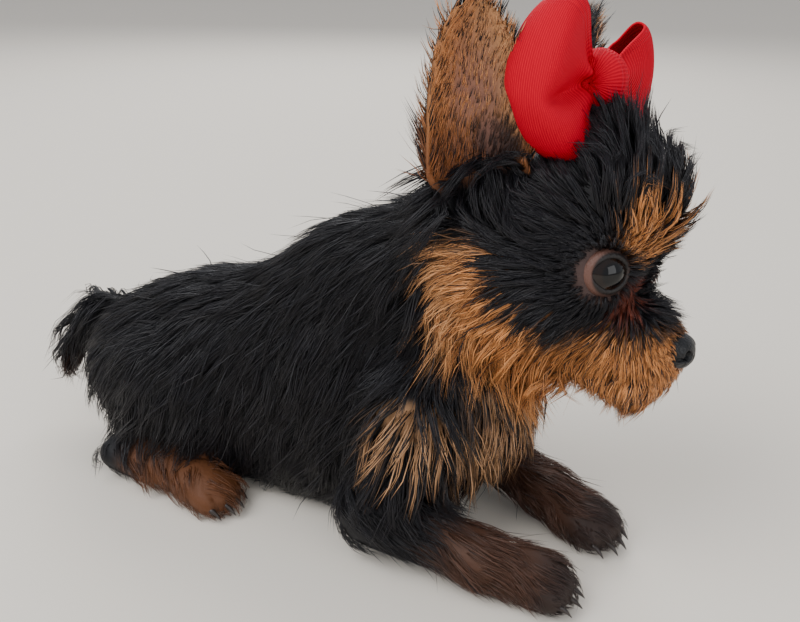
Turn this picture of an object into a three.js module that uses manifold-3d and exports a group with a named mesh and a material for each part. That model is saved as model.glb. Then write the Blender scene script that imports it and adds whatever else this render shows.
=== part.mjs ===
// A Yorkshire terrier puppy, life size, lying on its chest and belly with its forelegs stretched out
// in front, its head up and a ribbon bow on its crown. Millimetres. The puppy faces +X, its left side
// is +Y and +Z is up. The origin is the middle of the flat that the belly rests on, at floor level.
import * as THREE from "three";
import { mergeVertices } from "three/addons/utils/BufferGeometryUtils.js";
import Module from "manifold-3d";

const wasm = await Module();
wasm.setup();

// Driving dimensions
const GAP = 0.3; // between neighbouring nodes
const HEAD_AT = [84.6, 0, 97]; // middle of the skull
const HEAD_TURN = -7; // degrees, towards its right
const HEAD_NOD = 2; // degrees, nose down
const HEAD_TILT = -6; // degrees, crown towards its left
const EYE_RADIUS = 6.4;
const EYE_AT = [20.2, 11.2, 0.5];
const EYE_LOOK = [0.8, 0.6, 0.1];
const EYE_OPENING = [4.9, 4.3]; // half width and half height between the lids
const LID_THICK = 1.2;
const NOSE_AT = [39.2, 0, -17.4];
const NOSE_RADII = [4.8, 5.5, 4.4];
const NOSTRIL_RADII = [2.2, 1.1, 1.4];
const MOUTH_LEVEL = -24.6;
const MOUTH_DEEP = 1.6;
const MOUTH_GAPE = 0.7;
const EAR_LENGTH = 54;
const EAR_WIDTH = 28;
const EAR_THICK = 2;
const EAR_ROOT = [-11, 19, 8];
const EAR_TIP = [-11, 35, 62];
const RIBBON_WIDTH = 36;
const RIBBON_THICK = 1.2;
const LOOP_REACH = 25; // from the knot out to the fold
const LOOP_OPEN = 6.8; // half the gap between the two faces of a loop
const LOOP_PINCH = 0.26; // share of the ribbon's width left where the knot grips it
const KNOT_AT = [6.5, 0, 43];
const KNOT_RADII = [6, 5.4, 8.4];
const COAT_LENGTH = [24, 31]; // shortest and longest lock on the body
const COAT_WIDTH = [12, 15];
const COAT_LIFT = [3.6, 5]; // how far the tips of its locks stand out
const FEATHER_LENGTH = [15, 20]; // locks of the legs
const FACE_LOCK = { length: 12, width: 7.5 };
const CROWN_LOCK = { length: 19, width: 12 };
const RUFF_LENGTH = 25;

// Small helpers
const v3 = (x, y, z) => new THREE.Vector3(x, y, z);
const lerp = THREE.MathUtils.lerp;
const rad = THREE.MathUtils.degToRad;
const bothSides = (make) => [make(1), make(-1)];
const mirrored = ([x, y, z], side) => [x, side * y, z];

function dice(seed) {
  let state = seed;
  return (low = 0, high = 1) => {
    state = (Math.imul(state, 1664525) + 1013904223) >>> 0;
    return low + ((high - low) * state) / 4294967296;
  };
}

// Distance fields of the flesh and its combed coat
function egg(x, y, z, rx, ry = rx, rz = rx) {
  return (p) => {
    const [dx, dy, dz] = [p.x - x, p.y - y, p.z - z];
    const near = Math.hypot(dx / rx, dy / ry, dz / rz);
    const slope = Math.hypot(dx / rx ** 2, dy / ry ** 2, dz / rz ** 2);
    return slope > 1e-6 ? (near * (near - 1)) / slope : -Math.min(rx, ry, rz);
  };
}

function limb(from, to, startRadius, endRadius) {
  const a = v3(...from);
  const along = v3(...to).sub(a);
  return (p) => {
    const d = p.clone().sub(a);
    const t = THREE.MathUtils.clamp(d.dot(along) / along.lengthSq(), 0, 1);
    return d.addScaledVector(along, -t).length() - lerp(startRadius, endRadius, t);
  };
}

const merged = (softness, ...fields) => (p) =>
  fields
    .map((f) => f(p))
    .reduce((a, b) => {
      const near = Math.max(softness - Math.abs(a - b), 0) / softness;
      return Math.min(a, b) - (near * near * softness) / 4;
    });

function slope(field, p) {
  const step = 0.4;
  const along = (d) => field(p.clone().add(d)) - field(p.clone().sub(d));
  return v3(along(v3(step, 0, 0)), along(v3(0, step, 0)), along(v3(0, 0, step))).normalize();
}

// Closed meshes and solids
function solidFrom(geometry, matrix = new THREE.Matrix4()) {
  const bare = geometry.clone().applyMatrix4(matrix);
  bare.deleteAttribute("normal");
  bare.deleteAttribute("uv");
  const whole = mergeVertices(bare, 1e-4);
  return new wasm.Manifold(
    new wasm.Mesh({
      numProp: 3,
      vertProperties: new Float32Array(whole.attributes.position.array),
      triVerts: new Uint32Array(whole.index.array),
    }),
  );
}

function solidOf(points, faces) {
  const g = new THREE.BufferGeometry();
  const places = points.flatMap((p) => [p.x, p.y, p.z]);
  g.setAttribute("position", new THREE.Float32BufferAttribute(places, 3));
  g.setIndex(faces.flat());
  const made = solidFrom(g);
  if (made.volume() > 0) return made;
  g.setIndex(faces.flatMap(([a, b, c]) => [a, c, b]));
  return solidFrom(g);
}

function joined(solids) {
  let list = solids;
  while (list.length > 1) {
    const pairs = list.filter((_, i) => i % 2 === 0);
    const others = list.filter((_, i) => i % 2);
    list = pairs.map((one, i) => (others[i] ? one.add(others[i]) : one));
  }
  return list[0];
}

const largest = (solid) => solid.decompose().reduce((a, b) => (a.volume() > b.volume() ? a : b));
const cleared = (solid, ...obstacles) => obstacles.reduce((kept, o) => kept.subtract(o), solid);

const globe = ([x, y, z], radii, around = 16, down = 10, turn = new THREE.Matrix4()) =>
  solidFrom(
    new THREE.SphereGeometry(1, around, down),
    new THREE.Matrix4().makeTranslation(x, y, z).multiply(turn).scale(v3(...radii)),
  );

// A tube of closed rings, capped flat, or drawn to a point where the last ring is a single point
function skinned(rings) {
  const points = rings.flat();
  const faces = [];
  let start = 0;
  const n = rings[0].length;
  for (let k = 1; k < n - 1; k++) faces.push([0, k + 1, k]);
  for (let i = 0; i < rings.length - 1; i++) {
    const next = start + n;
    if (rings[i + 1].length === 1) {
      for (let k = 0; k < n; k++) faces.push([start + k, start + ((k + 1) % n), next]);
      return solidOf(points, faces);
    }
    for (let k = 0; k < n; k++) {
      const j = (k + 1) % n;
      faces.push([start + k, start + j, next + j], [start + k, next + j, next + k]);
    }
    start = next;
  }
  for (let k = 1; k < n - 1; k++) faces.push([start, start + k, start + k + 1]);
  return solidOf(points, faces);
}

// Rays leave a spine sideways, fan out over its two ends and stop where they meet the surface
function rayFrom(field, spine, depth = 0) {
  const curve = new THREE.CatmullRomCurve3(spine.map((p) => v3(...p)));
  const fan = 0.4;
  return (u, angle) => {
    const t = THREE.MathUtils.clamp((u / (1 - fan) + 1) / 2, 0, 1);
    const tilt = (Math.sign(u) * Math.max(0, Math.abs(u) - (1 - fan)) * Math.PI) / 2 / fan;
    const origin = curve.getPoint(t);
    const tangent = curve.getTangent(t);
    const side = v3(0, 1, 0).cross(tangent).normalize();
    const across = tangent.clone().cross(side).normalize();
    const out = side.multiplyScalar(Math.cos(angle)).addScaledVector(across, Math.sin(angle));
    const ray = out.multiplyScalar(Math.cos(tilt)).addScaledVector(tangent, Math.sin(tilt));
    const at = (r) => field(origin.clone().addScaledVector(ray, r)) - depth;
    let low = 0;
    while (low < 90 && at(low + 1.5) < 0) low += 1.5;
    let high = low + 1.5;
    for (let i = 0; i < 12; i++) {
      const mid = (low + high) / 2;
      if (at(mid) < 0) low = mid;
      else high = mid;
    }
    return origin.addScaledVector(ray, low);
  };
}

function wrapped(field, spine, rings, sides, depth = 0) {
  const ray = rayFrom(field, spine, depth);
  const points = [ray(-1, 0)];
  for (let i = 1; i < rings; i++) {
    const stagger = (i % 2) / 2;
    const u = (2 * i) / rings - 1;
    for (let k = 0; k < sides; k++) points.push(ray(u, (2 * Math.PI * (k + stagger)) / sides));
  }
  points.push(ray(1, 0));
  const faces = [];
  const last = points.length - 1;
  const id = (ring, k) => 1 + (ring - 1) * sides + (k % sides);
  for (let k = 0; k < sides; k++) {
    faces.push([0, id(1, k + 1), id(1, k)], [last, id(rings - 1, k), id(rings - 1, k + 1)]);
    for (let ring = 1; ring < rings - 1; ring++) {
      const [a, b, c, d] = [id(ring, k), id(ring, k + 1), id(ring + 1, k + 1), id(ring + 1, k)];
      if (ring % 2) faces.push([a, b, c], [a, c, d]);
      else faces.push([a, b, d], [b, c, d]);
    }
  }
  return solidOf(points, faces);
}

// A half space as a block behind a plane, given by a point of the plane and the way out of the block
function behind(point, outward) {
  const size = 400;
  const turn = new THREE.Quaternion().setFromUnitVectors(v3(1, 0, 0), v3(...outward).normalize());
  const middle = v3(...point).addScaledVector(v3(1, 0, 0).applyQuaternion(turn), -size / 2);
  const place = new THREE.Matrix4().compose(middle, turn, v3(size, size, size));
  return solidFrom(new THREE.BoxGeometry(1, 1, 1), place);
}

// Flesh of the trunk, neck, head, legs and tail
const trunk = merged(
  16,
  egg(-53, 0, 30, 29, 31, 28),
  egg(-18, 0, 34, 44, 32, 38),
  egg(22, 0, 43, 40, 30, 48),
  egg(58, 0, 47, 25, 24, 28),
);
const neckFlesh = limb([34, 0, 79], [70, 0, 92], 21, 21);
const SPINE = [[-66, 0, 30], [-22, 0, 36], [20, 0, 52], [46, 0, 72], [66, 0, 88]];

const FORELEG = {
  right: {
    shoulder: [56, -17, 46],
    elbow: [48, -26, 17],
    wrist: [82, -25, 10.5],
    paw: [97, -22.5, 8],
    heading: 9,
  },
  left: {
    shoulder: [58, 17, 46],
    elbow: [52, 26, 17],
    wrist: [87, 16, 10.5],
    paw: [101, 11, 8],
    heading: -18,
  },
};
const HIND = { thigh: [-36, 25, 28], hock: [-50, 34, 8], toes: [-12, 34, 7.5] };
const TAIL = [[-74, 0, 44], [-85, -3, 44], [-91, -8, 37], [-93, -13, 27]];

function pawField([x, y, z], heading) {
  const [c, s] = [Math.cos(rad(heading)), Math.sin(rad(heading))];
  const toe = (k) => {
    const spread = (k - 1.5) * 4.4;
    const ahead = 9 - 0.5 * Math.abs(spread);
    return egg(x + ahead * c - spread * s, y + ahead * s + spread * c, z - 1.8, 4.6, 3, 4.8);
  };
  return merged(2, egg(x - 1, y, z, 11, 8.8, 8.4), ...[0, 1, 2, 3].map(toe));
}

const forelegField = ({ shoulder, elbow, wrist, paw, heading }) =>
  merged(
    6,
    limb(shoulder, elbow, 17, 13),
    limb(elbow, wrist, 12, 8.8),
    limb(wrist, paw, 8.8, 8),
    pawField(paw, heading),
  );

const hindField = (side) => {
  const [thigh, hock, toes] = [HIND.thigh, HIND.hock, HIND.toes].map((p) => mirrored(p, side));
  return merged(8, egg(...thigh, 30, 13, 26), limb(hock, toes, 7.4, 6.8), pawField(toes, 0));
};
const tailField = merged(4, ...TAIL.slice(1).map((p, i) => limb(TAIL[i], p, 8 - i * 1.4, 6.8 - i * 1.4)));

const skull = merged(
  7,
  egg(-2, 0, 2, 27, 23, 22),
  egg(12, 0, 5, 16, 18, 15),
  egg(14, 0, 15, 19, 18, 15),
  ...bothSides((s) => egg(4, s * 13, -10, 17, 11, 13)),
  limb([16, 0, -11], [33, 0, -17.8], 12, 9),
  limb([6, 0, -20], [30, 0, -26.4], 10.5, 7),
  ...bothSides((s) => egg(32, s * 5.2, -21, 8, 5.8, 6)),
);
const HEAD_FRAME = new THREE.Matrix4().compose(
  v3(...HEAD_AT),
  new THREE.Quaternion().setFromEuler(new THREE.Euler(rad(HEAD_TILT), rad(HEAD_NOD), rad(HEAD_TURN), "ZYX")),
  v3(1, 1, 1),
);
const TO_HEAD = HEAD_FRAME.clone().invert();
const onHead = (solid) => solid.transform(HEAD_FRAME.elements);
const skullField = merged(9, skull, (p) => neckFlesh(p.clone().applyMatrix4(HEAD_FRAME)));
const HEAD_SPINE = [[-12, 0, 0], [10, 0, -3], [30, 0, -18.5]];
const body = merged(12, trunk, neckFlesh);

const LAID = 0.8; // how far the middle of a lock lies out of the coat before its tip stands free
const LOCK_STATIONS = 4;

// Locks of the coat: flat, tapered, laid along the coat and rooted well below its surface
function lock(field, root, lie, { length, width, thick, lift, bend = 0, grow = 0, sink = 3 }) {
  let p = root.clone();
  let sway = 0;
  const rings = [];
  for (let i = 0; i <= LOCK_STATIONS; i++) {
    const s = i / LOCK_STATIONS;
    const free = Math.max(0, s - 0.3) ** 1.4 * 1.65;
    const height = lerp(-sink, LAID, Math.min(1, s / 0.3)) + (lift - LAID) * free;
    const normal = slope(field, p);
    const placed = p.clone().addScaledVector(normal, height - field(p));
    const way = lie(placed).clone();
    way.addScaledVector(normal, -way.dot(normal)).normalize();
    const across = way.clone().cross(normal).normalize();
    way.addScaledVector(across, bend * Math.sin(2.6 * s + 0.6) + sway).normalize();
    const half = (width / 2) * (1 - s ** 2.2) * lerp(0.8, 1, Math.min(1, s * 3)) + grow;
    const deep = (thick / 2) * (1 - 0.6 * s) + grow;
    const ring = [
      placed.clone().addScaledVector(across, half),
      placed.clone().addScaledVector(normal, deep),
      placed.clone().addScaledVector(across, -half),
      placed.clone().addScaledVector(normal, -deep),
    ];
    rings.push(i === LOCK_STATIONS ? [placed.clone().addScaledVector(way, grow)] : ring);
    p = placed.clone().addScaledVector(way, length / LOCK_STATIONS);
    sway = bend * 0.2;
  }
  return skinned(rings);
}

const LOCK_ROOM = 0.42; // kept clear all round a lock where a neighbour makes room for it
function coat(roots, field, lie, look) {
  const styled = roots.map((root, index) => [root, look(root, dice(17 + index * 977))]);
  const worn = styled.filter(([, style]) => style);
  return {
    locks: worn.map(([root, style]) => lock(field, root, lie, style)),
    rooms: worn.map(([root, style]) => lock(field, root, lie, { ...style, grow: LOCK_ROOM })),
  };
}

const ribs = (n, low, high) => Array.from({ length: n }, (_, i) => lerp(low, high, n > 1 ? i / (n - 1) : 0.5));
function scattered(field, spine, rows, seed) {
  const ray = rayFrom(field, spine);
  const roll = dice(seed);
  return rows.flatMap(({ u, from, to, count }) =>
    ribs(count, from, to).map((a) => ray(u + roll(-0.02, 0.02), rad(a + roll(-4, 4)))),
  );
}

// Trunk and neck are one form parted by a thin cut, and the head meets the neck at another
const bodyCore = wrapped(body, SPINE, 22, 22);
const bodyRoom = wrapped(body, SPINE, 22, 22, GAP);
const NECK_CUT = { at: [51, 0, 84], out: [0.55, 0, 0.835] };
const HEAD_CUT = { at: [66, 0, 93], out: [0.94, 0, 0.34] };
const shifted = ({ at, out }, by) => v3(...at).addScaledVector(v3(...out).normalize(), by).toArray();
const lowNeck = behind(shifted(NECK_CUT, 0), NECK_CUT.out);
const lowNeckRoom = behind(shifted(NECK_CUT, GAP), NECK_CUT.out);
const lowHead = behind(shifted(HEAD_CUT, 0), HEAD_CUT.out);
const lowHeadRoom = behind(shifted(HEAD_CUT, GAP), HEAD_CUT.out);
const floorBlock = behind([0, 0, 0], [0, 0, 1]);

// Head
const headWrapRoom = onHead(wrapped(skullField, HEAD_SPINE, 22, 20, GAP));

function eyeParts(side) {
  const at = mirrored(EYE_AT, side);
  const look = v3(...mirrored(EYE_LOOK, side)).normalize();
  const up = v3(0, 0, 1);
  const turn = new THREE.Matrix4().makeBasis(look.clone().cross(up).normalize(), look, up);
  const around = (r, n, m) => globe(at, [r, r, r], n, m);
  const [halfWide, halfHigh] = EYE_OPENING;
  const opening = solidFrom(
    new THREE.CylinderGeometry(1.15, 0.95, 8, 12),
    new THREE.Matrix4()
      .makeTranslation(...v3(...at).addScaledVector(look, EYE_RADIUS + 1).toArray())
      .multiply(turn)
      .scale(v3(halfWide, 1, halfHigh)),
  );
  return {
    lids: around(EYE_RADIUS + LID_THICK, 12, 8),
    hollow: around(EYE_RADIUS + GAP, 12, 8).add(opening),
    ball: around(EYE_RADIUS, 12, 8),
  };
}
const eyes = { left: eyeParts(1), right: eyeParts(-1) };

// The ear is a cupped leaf that rises from its root to its tip, with long hair at its rear edge
function earFrame(side) {
  const root = v3(...mirrored(EAR_ROOT, side));
  const axis = v3(...mirrored(EAR_TIP, side)).sub(root).normalize();
  const face = v3(0.55, side * 0.84, 0);
  face.addScaledVector(axis, -face.dot(axis)).normalize();
  return { root, axis, face, across: axis.clone().cross(face).normalize() };
}

function earLeaf(side, grow = 0) {
  const rows = 8;
  const columns = 6;
  const { root, axis, face, across } = earFrame(side);
  const rings = [];
  for (let i = 0; i <= rows; i++) {
    const rise = i / rows;
    const outline = Math.max(0.06, 1 - rise ** 2.8) ** 0.55 * lerp(0.8, 1, Math.min(1, rise / 0.4));
    const half = (EAR_WIDTH / 2) * outline + grow;
    const cup = lerp(1.3, 0.6, rise ** 0.6);
    const radius = half / Math.sin(cup);
    const middle = root.clone().addScaledVector(axis, (EAR_LENGTH + grow) * rise - 4 * (1 - rise));
    const edge = (offset) =>
      ribs(columns + 1, -1, 1).map((k) =>
        middle
          .clone()
          .addScaledVector(face, radius * 0.6 - (radius + offset) * Math.cos(cup * k))
          .addScaledVector(across, (radius + offset) * Math.sin(cup * k)),
      );
    const deep = EAR_THICK / 2 + grow;
    rings.push([...edge(deep), ...edge(-deep).reverse()]);
  }
  return skinned(rings);
}

const FRINGE = { length: 14, width: 4.6, thick: 1.4, lift: 1, bend: 0.15, sink: 0.4 };
function earFringe(side) {
  const { root, axis, face, across } = earFrame(side);
  const rear = across.clone().multiplyScalar(side);
  return ribs(5, 0.16, 0.78).map((t, i) => {
    const out = (EAR_WIDTH / 2) * (0.9 - 0.12 * t);
    const edge = root.clone().addScaledVector(axis, EAR_LENGTH * t).addScaledVector(rear, out);
    const flat = (p) => p.clone().sub(edge).dot(face);
    const way = rear.clone().multiplyScalar(0.7).addScaledVector(axis, 0.6);
    return lock(flat, edge, () => way, { ...FRINGE, length: FRINGE.length - i });
  });
}

// Ribbon of one loop of the bow, run from the knot round the fold and back, its faces pinched at the knot
const LOOP_START = 3.5;
function loopPath(a) {
  const run = Math.max(0, Math.cos((a * Math.PI) / 2)) ** 0.6;
  return { run, out: LOOP_REACH * run + LOOP_START, open: LOOP_OPEN * Math.sin(a * Math.PI) + a * 1.6 };
}

function ribbonLoop(side, grow = 0) {
  const turns = 12;
  const fullAt = 0.65; // share of the reach where the ribbon has spread to its whole width
  const rings = [];
  for (let i = 0; i <= turns; i++) {
    const a = lerp(-1, 1, i / turns);
    const { run, out, open } = loopPath(a);
    const next = loopPath(a + 0.02 / turns);
    const spread = lerp(LOOP_PINCH, 1, Math.min(1, run / fullAt) ** 0.9);
    const rounded = 1 - (0.22 * Math.max(0, run - fullAt)) / (1 - fullAt);
    const wide = (RIBBON_WIDTH / 2) * spread * rounded + grow;
    const flow = v3(0, next.out - out, next.open - open).normalize();
    const thick = v3(0, -flow.z, flow.y).multiplyScalar(RIBBON_THICK / 2 + grow);
    const corner = (w, t) => v3(w * wide, out, open).addScaledVector(thick, t);
    const upper = [corner(1, 1), corner(0, 1.4), corner(-1, 1)];
    const lower = [corner(-1, -1), corner(0, -0.6), corner(1, -1)];
    rings.push([...upper, ...lower]);
  }
  const lean = new THREE.Matrix4().compose(
    v3(...KNOT_AT),
    new THREE.Quaternion().setFromEuler(new THREE.Euler(rad(side * 6), rad(-88), 0, "ZYX")),
    v3(1, side, 1),
  );
  return skinned(rings).transform(lean.elements);
}
const knotTurn = new THREE.Matrix4().makeRotationY(rad(32));
const knotGlobe = (grow = 0) => globe(KNOT_AT, KNOT_RADII.map((r) => r + grow), 12, 8, knotTurn);

const ears = { left: earLeaf(1), right: earLeaf(-1) };
const earRooms = { left: earLeaf(1, GAP), right: earLeaf(-1, GAP) };
const bows = { left: ribbonLoop(1), right: ribbonLoop(-1) };
const bowRooms = { left: ribbonLoop(1, GAP), right: ribbonLoop(-1, GAP) };
const TOPKNOT = [[9, 0, 22], [8, 0, 38]];
const topknotField = limb(...TOPKNOT, 14, 7.5);
const topknot = wrapped(topknotField, TOPKNOT, 8, 12);

const mouthPlate = new THREE.BoxGeometry(36, 40, MOUTH_GAPE).translate(34, 0, MOUTH_LEVEL);
const mouth = solidFrom(mouthPlate).subtract(wrapped(skullField, HEAD_SPINE, 12, 10, -MOUTH_DEEP));

const noseGlobe = (grow) => globe(NOSE_AT, NOSE_RADII.map((r) => r + grow), 12, 8);
const nostrilAt = (s) => [NOSE_AT[0] + 4.2, s * 2.5, NOSE_AT[2] + 0.6];
const nostrils = bothSides((s) => globe(nostrilAt(s), NOSTRIL_RADII, 8, 6));
const nose = cleared(noseGlobe(0), ...nostrils);

// Coats: the way the hair lies, and the locks that follow it
const limbs = {
  foreleg_left: forelegField(FORELEG.left),
  foreleg_right: forelegField(FORELEG.right),
  hindleg_left: hindField(1),
  hindleg_right: hindField(-1),
};
const animal = merged(5, body, ...Object.values(limbs));
const inHead = (field) => (p) => field(p.clone().applyMatrix4(HEAD_FRAME));
const headAll = merged(6, skullField, topknotField, inHead(body));
const beyond = ({ at, out }, p) => p.clone().sub(v3(...at)).dot(v3(...out).normalize());

function bodyLie(p) {
  const side = Math.sign(p.y);
  const low = Math.min(1, Math.abs(p.y) / 26);
  const front = THREE.MathUtils.smoothstep(p.x, 52, 74);
  const rump = THREE.MathUtils.smoothstep(-p.x, 52, 78);
  const backwards = lerp(-1, -0.45, Math.max(low, rump)) * (1 - 0.8 * front);
  return v3(backwards, side * 0.3 * (1 - low), -0.2 - low - rump - front);
}

function headLie(p) {
  const side = Math.sign(p.y) || 1;
  const fromNose = p.clone().sub(v3(42, 0, -12));
  const muzzle = THREE.MathUtils.smoothstep(p.x, 12, 26);
  const crown = THREE.MathUtils.smoothstep(p.z, 6, 16);
  const cheek = v3(-0.8, side * 0.15, -0.62);
  const towardsKnot = v3(...KNOT_AT).sub(p).normalize();
  const backwards = v3(-0.9, side * 0.2, -0.5);
  const overCrown = p.x > -4 ? towardsKnot : backwards;
  return cheek
    .lerp(fromNose.multiply(v3(0.6, 1.3, 1.1)).normalize().add(v3(-0.1, 0, -0.55)), muzzle * (1 - crown))
    .lerp(overCrown, crown);
}

const wave = (roll) => roll(0.12, 0.3) * (roll() < 0.5 ? -1 : 1);
const bodyRows = ribs(10, -0.86, 0.84).map((u, i) => {
  const odd = i % 2;
  return { u, from: 66 + odd * 14, to: 280 + odd * 14, count: 8 };
});
const chestRows = ribs(3, 0.24, 0.5).map((u) => ({ u, from: -44, to: 44, count: 4 }));
const coatRoots = [...scattered(body, SPINE, bodyRows, 5), ...scattered(body, SPINE, chestRows, 9)];
const clearOfLegs = (p) => Object.values(limbs).every((field) => field(p) > 2.5);
const bodyStyle = (p, roll) => ({
  length: roll(...COAT_LENGTH),
  width: roll(...COAT_WIDTH),
  thick: 2.2,
  lift: roll(...COAT_LIFT),
  bend: wave(roll),
});
const LOWEST_ROOT = 13; // no lock starts below this height
const wornBy = (ownPart) => (p, roll) =>
  ownPart(p) && p.z > LOWEST_ROOT && clearOfLegs(p) ? bodyStyle(p, roll) : null;
const onTorso = (p) => beyond(NECK_CUT, p) < -2;
const onNeck = (p) => beyond(NECK_CUT, p) > 3 && beyond(HEAD_CUT, p) < -3;
const torsoCoat = coat(coatRoots, animal, bodyLie, wornBy(onTorso));
const neckCoat = coat(coatRoots, animal, bodyLie, wornBy(onNeck));

const headRows = [
  { u: -0.5, from: 110, to: 250, count: 5 },
  { u: -0.2, from: 55, to: 305, count: 8 },
  { u: 0.05, from: 35, to: 325, count: 8 },
  { u: 0.3, from: 20, to: 340, count: 6 },
  { u: 0.5, from: -115, to: 115, count: 7 },
  { u: 0.7, from: -125, to: 125, count: 6 },
];
const headRoots = scattered(headAll, HEAD_SPINE, headRows, 22);
const eyeCentres = bothSides((s) => v3(...mirrored(EYE_AT, s)));
const earRoots = bothSides((s) => v3(...mirrored(EAR_ROOT, s)));
const nearest = (points, p) => Math.min(...points.map((c) => c.distanceTo(p)));
const inWorld = (p) => p.clone().applyMatrix4(HEAD_FRAME);
const FACE_CLEAR = 12; // no lock starts this close to an eye or to the root of an ear
const headStyle = (p, roll) => {
  if (nearest([...eyeCentres, ...earRoots], p) < FACE_CLEAR || beyond(HEAD_CUT, inWorld(p)) < 4) return null;
  const muzzle = THREE.MathUtils.smoothstep(p.x, 10, 24);
  const ruff = THREE.MathUtils.smoothstep(-p.z, 4, 14) * (1 - muzzle);
  return {
    length: lerp(lerp(CROWN_LOCK.length, FACE_LOCK.length, muzzle), RUFF_LENGTH, ruff) * roll(0.9, 1.1),
    width: lerp(CROWN_LOCK.width, FACE_LOCK.width, muzzle) * roll(0.9, 1.1),
    thick: lerp(2, 1.5, muzzle),
    lift: lerp(3.4, 3, muzzle) + 2 * ruff,
    bend: wave(roll),
    sink: lerp(3, 2.2, muzzle),
  };
};
const headCoat = coat(headRoots, headAll, headLie, headStyle);

// Tufts of the forelock stand out over the brow, in front of the knot
const forelockLie = (p) => v3(0.75, p.y * 0.06, 0.42);
const forelockRows = [
  { u: 0.02, from: 150, to: 210, count: 4 },
  { u: 0.12, from: 165, to: 195, count: 2 },
];
const forelockRoots = scattered(headAll, HEAD_SPINE, forelockRows, 5);
const forelockField = (p) => headAll(p) - 2 * THREE.MathUtils.smoothstep(p.x, 16, 40);
const forelock = coat(forelockRoots, forelockField, forelockLie, (p, roll) => ({
  length: roll(13, 18),
  width: roll(6, 8),
  thick: 2,
  lift: roll(4, 7),
  bend: wave(roll),
}));

const headOwn = [topknot, eyes.left.lids, eyes.right.lids];
const bowHollows = [knotGlobe(GAP), bowRooms.left, bowRooms.right];
const headHollows = [eyes.left.hollow, eyes.right.hollow, noseGlobe(GAP), ...bowHollows];
const headLocks = cleared(joined([...headCoat.locks, ...forelock.locks]), earRooms.left, earRooms.right);
const headFlesh = joined([wrapped(skullField, HEAD_SPINE, 22, 20), ...headOwn]).subtract(mouth);
const headSolid = onHead(cleared(headFlesh.add(headLocks), ...headHollows)).subtract(lowHeadRoom);
const lockRooms = [...headCoat.rooms, ...forelock.rooms].map(onHead);
const headRoom = joined([headWrapRoom.subtract(lowHead), ...lockRooms]);
const earFoot = joined([headWrapRoom, onHead(topknot)]);

const neckCore = bodyCore.intersect(lowHead).subtract(lowNeckRoom);
const neckSolid = joined([neckCore, ...neckCoat.locks]).subtract(headRoom);
const neckRoom = joined([bodyRoom.subtract(lowNeck), ...neckCoat.rooms]);
const torsoSolid = cleared(joined([bodyCore.intersect(lowNeck), ...torsoCoat.locks]), neckRoom, headRoom);
const torsoRoom = joined([bodyRoom, ...torsoCoat.rooms]);

// Legs and tail
const legLie = ([x, y, z], fall) => () => v3(x, y, z - fall);
function legSolid({ field, spine, rings, sides, lie, rows, seed }) {
  const style = (p, roll) => (body(p) > 1 && p.z > 9 ? feather(roll) : null);
  const worn = coat(scattered(field, spine, rows, seed), animal, lie, style);
  return cleared(joined([wrapped(field, spine, rings, sides), ...worn.locks]), torsoRoom, neckRoom, headRoom);
}
const feather = (roll) => ({
  length: roll(...FEATHER_LENGTH),
  width: roll(7, 9),
  thick: 1.8,
  lift: roll(2.4, 3.4),
  bend: wave(roll),
  sink: 2.6,
});

function forelegSolid(name, pose, [from, to]) {
  const { shoulder, elbow, wrist, paw } = pose;
  const forward = v3(...wrist).sub(v3(...elbow)).normalize().toArray();
  const rows = [-0.45, -0.15, 0.15].map((u) => ({ u, from, to, count: 3 }));
  const spine = [shoulder, elbow, wrist, paw];
  const lie = legLie(forward, 0.7);
  return legSolid({ field: limbs[name], spine, rings: 18, sides: 12, lie, rows, seed: 31 });
}

const KNEE = [-20, 32, 14];
function hindlegSolid(name, side) {
  const spine = [HIND.thigh, KNEE, HIND.toes].map((p) => mirrored(p, side));
  const rows = [-0.8, -0.55, -0.3].map((u) => ({ u, from: 20, to: 290, count: 4 }));
  const lie = legLie([-0.35, 0, 0], 1);
  return legSolid({ field: limbs[name], spine, rings: 16, sides: 14, lie, rows, seed: 37 });
}

const tailLie = () => v3(-0.45, -0.3, -1);
const tailRows = ribs(3, -0.4, 0.6).map((u, i) => ({ u, from: 120 * i, to: 120 * i + 180, count: 2 }));
const tailStyle = (p, roll) =>
  body(p) > 2
    ? { length: roll(11, 15), width: roll(6, 7), thick: 1.8, lift: roll(2, 3.4), bend: wave(roll), sink: 2.4 }
    : null;
const tailCoat = coat(scattered(tailField, TAIL, tailRows, 3), tailField, tailLie, tailStyle);
const tailSolid = joined([wrapped(tailField, TAIL, 12, 10), ...tailCoat.locks]).subtract(torsoRoom);

const earSolid = (name, side) =>
  cleared(onHead(joined([ears[name], ...earFringe(side)])), earFoot, onHead(bowRooms[name]), neckRoom);

const made = {
  torso: torsoSolid,
  neck: neckSolid,
  head: headSolid,
  ear_left: earSolid("left", 1),
  ear_right: earSolid("right", -1),
  eye_left: onHead(eyes.left.ball),
  eye_right: onHead(eyes.right.ball),
  nose: onHead(nose),
  bow_knot: onHead(knotGlobe()),
  bow_loop_left: onHead(cleared(bows.left, knotGlobe(GAP))),
  bow_loop_right: onHead(cleared(bows.right, knotGlobe(GAP))),
  foreleg_left: forelegSolid("foreleg_left", FORELEG.left, [40, 190]),
  foreleg_right: forelegSolid("foreleg_right", FORELEG.right, [-190, -40]),
  hindleg_left: hindlegSolid("hindleg_left", 1),
  hindleg_right: hindlegSolid("hindleg_right", -1),
  tail: tailSolid,
};

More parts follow.
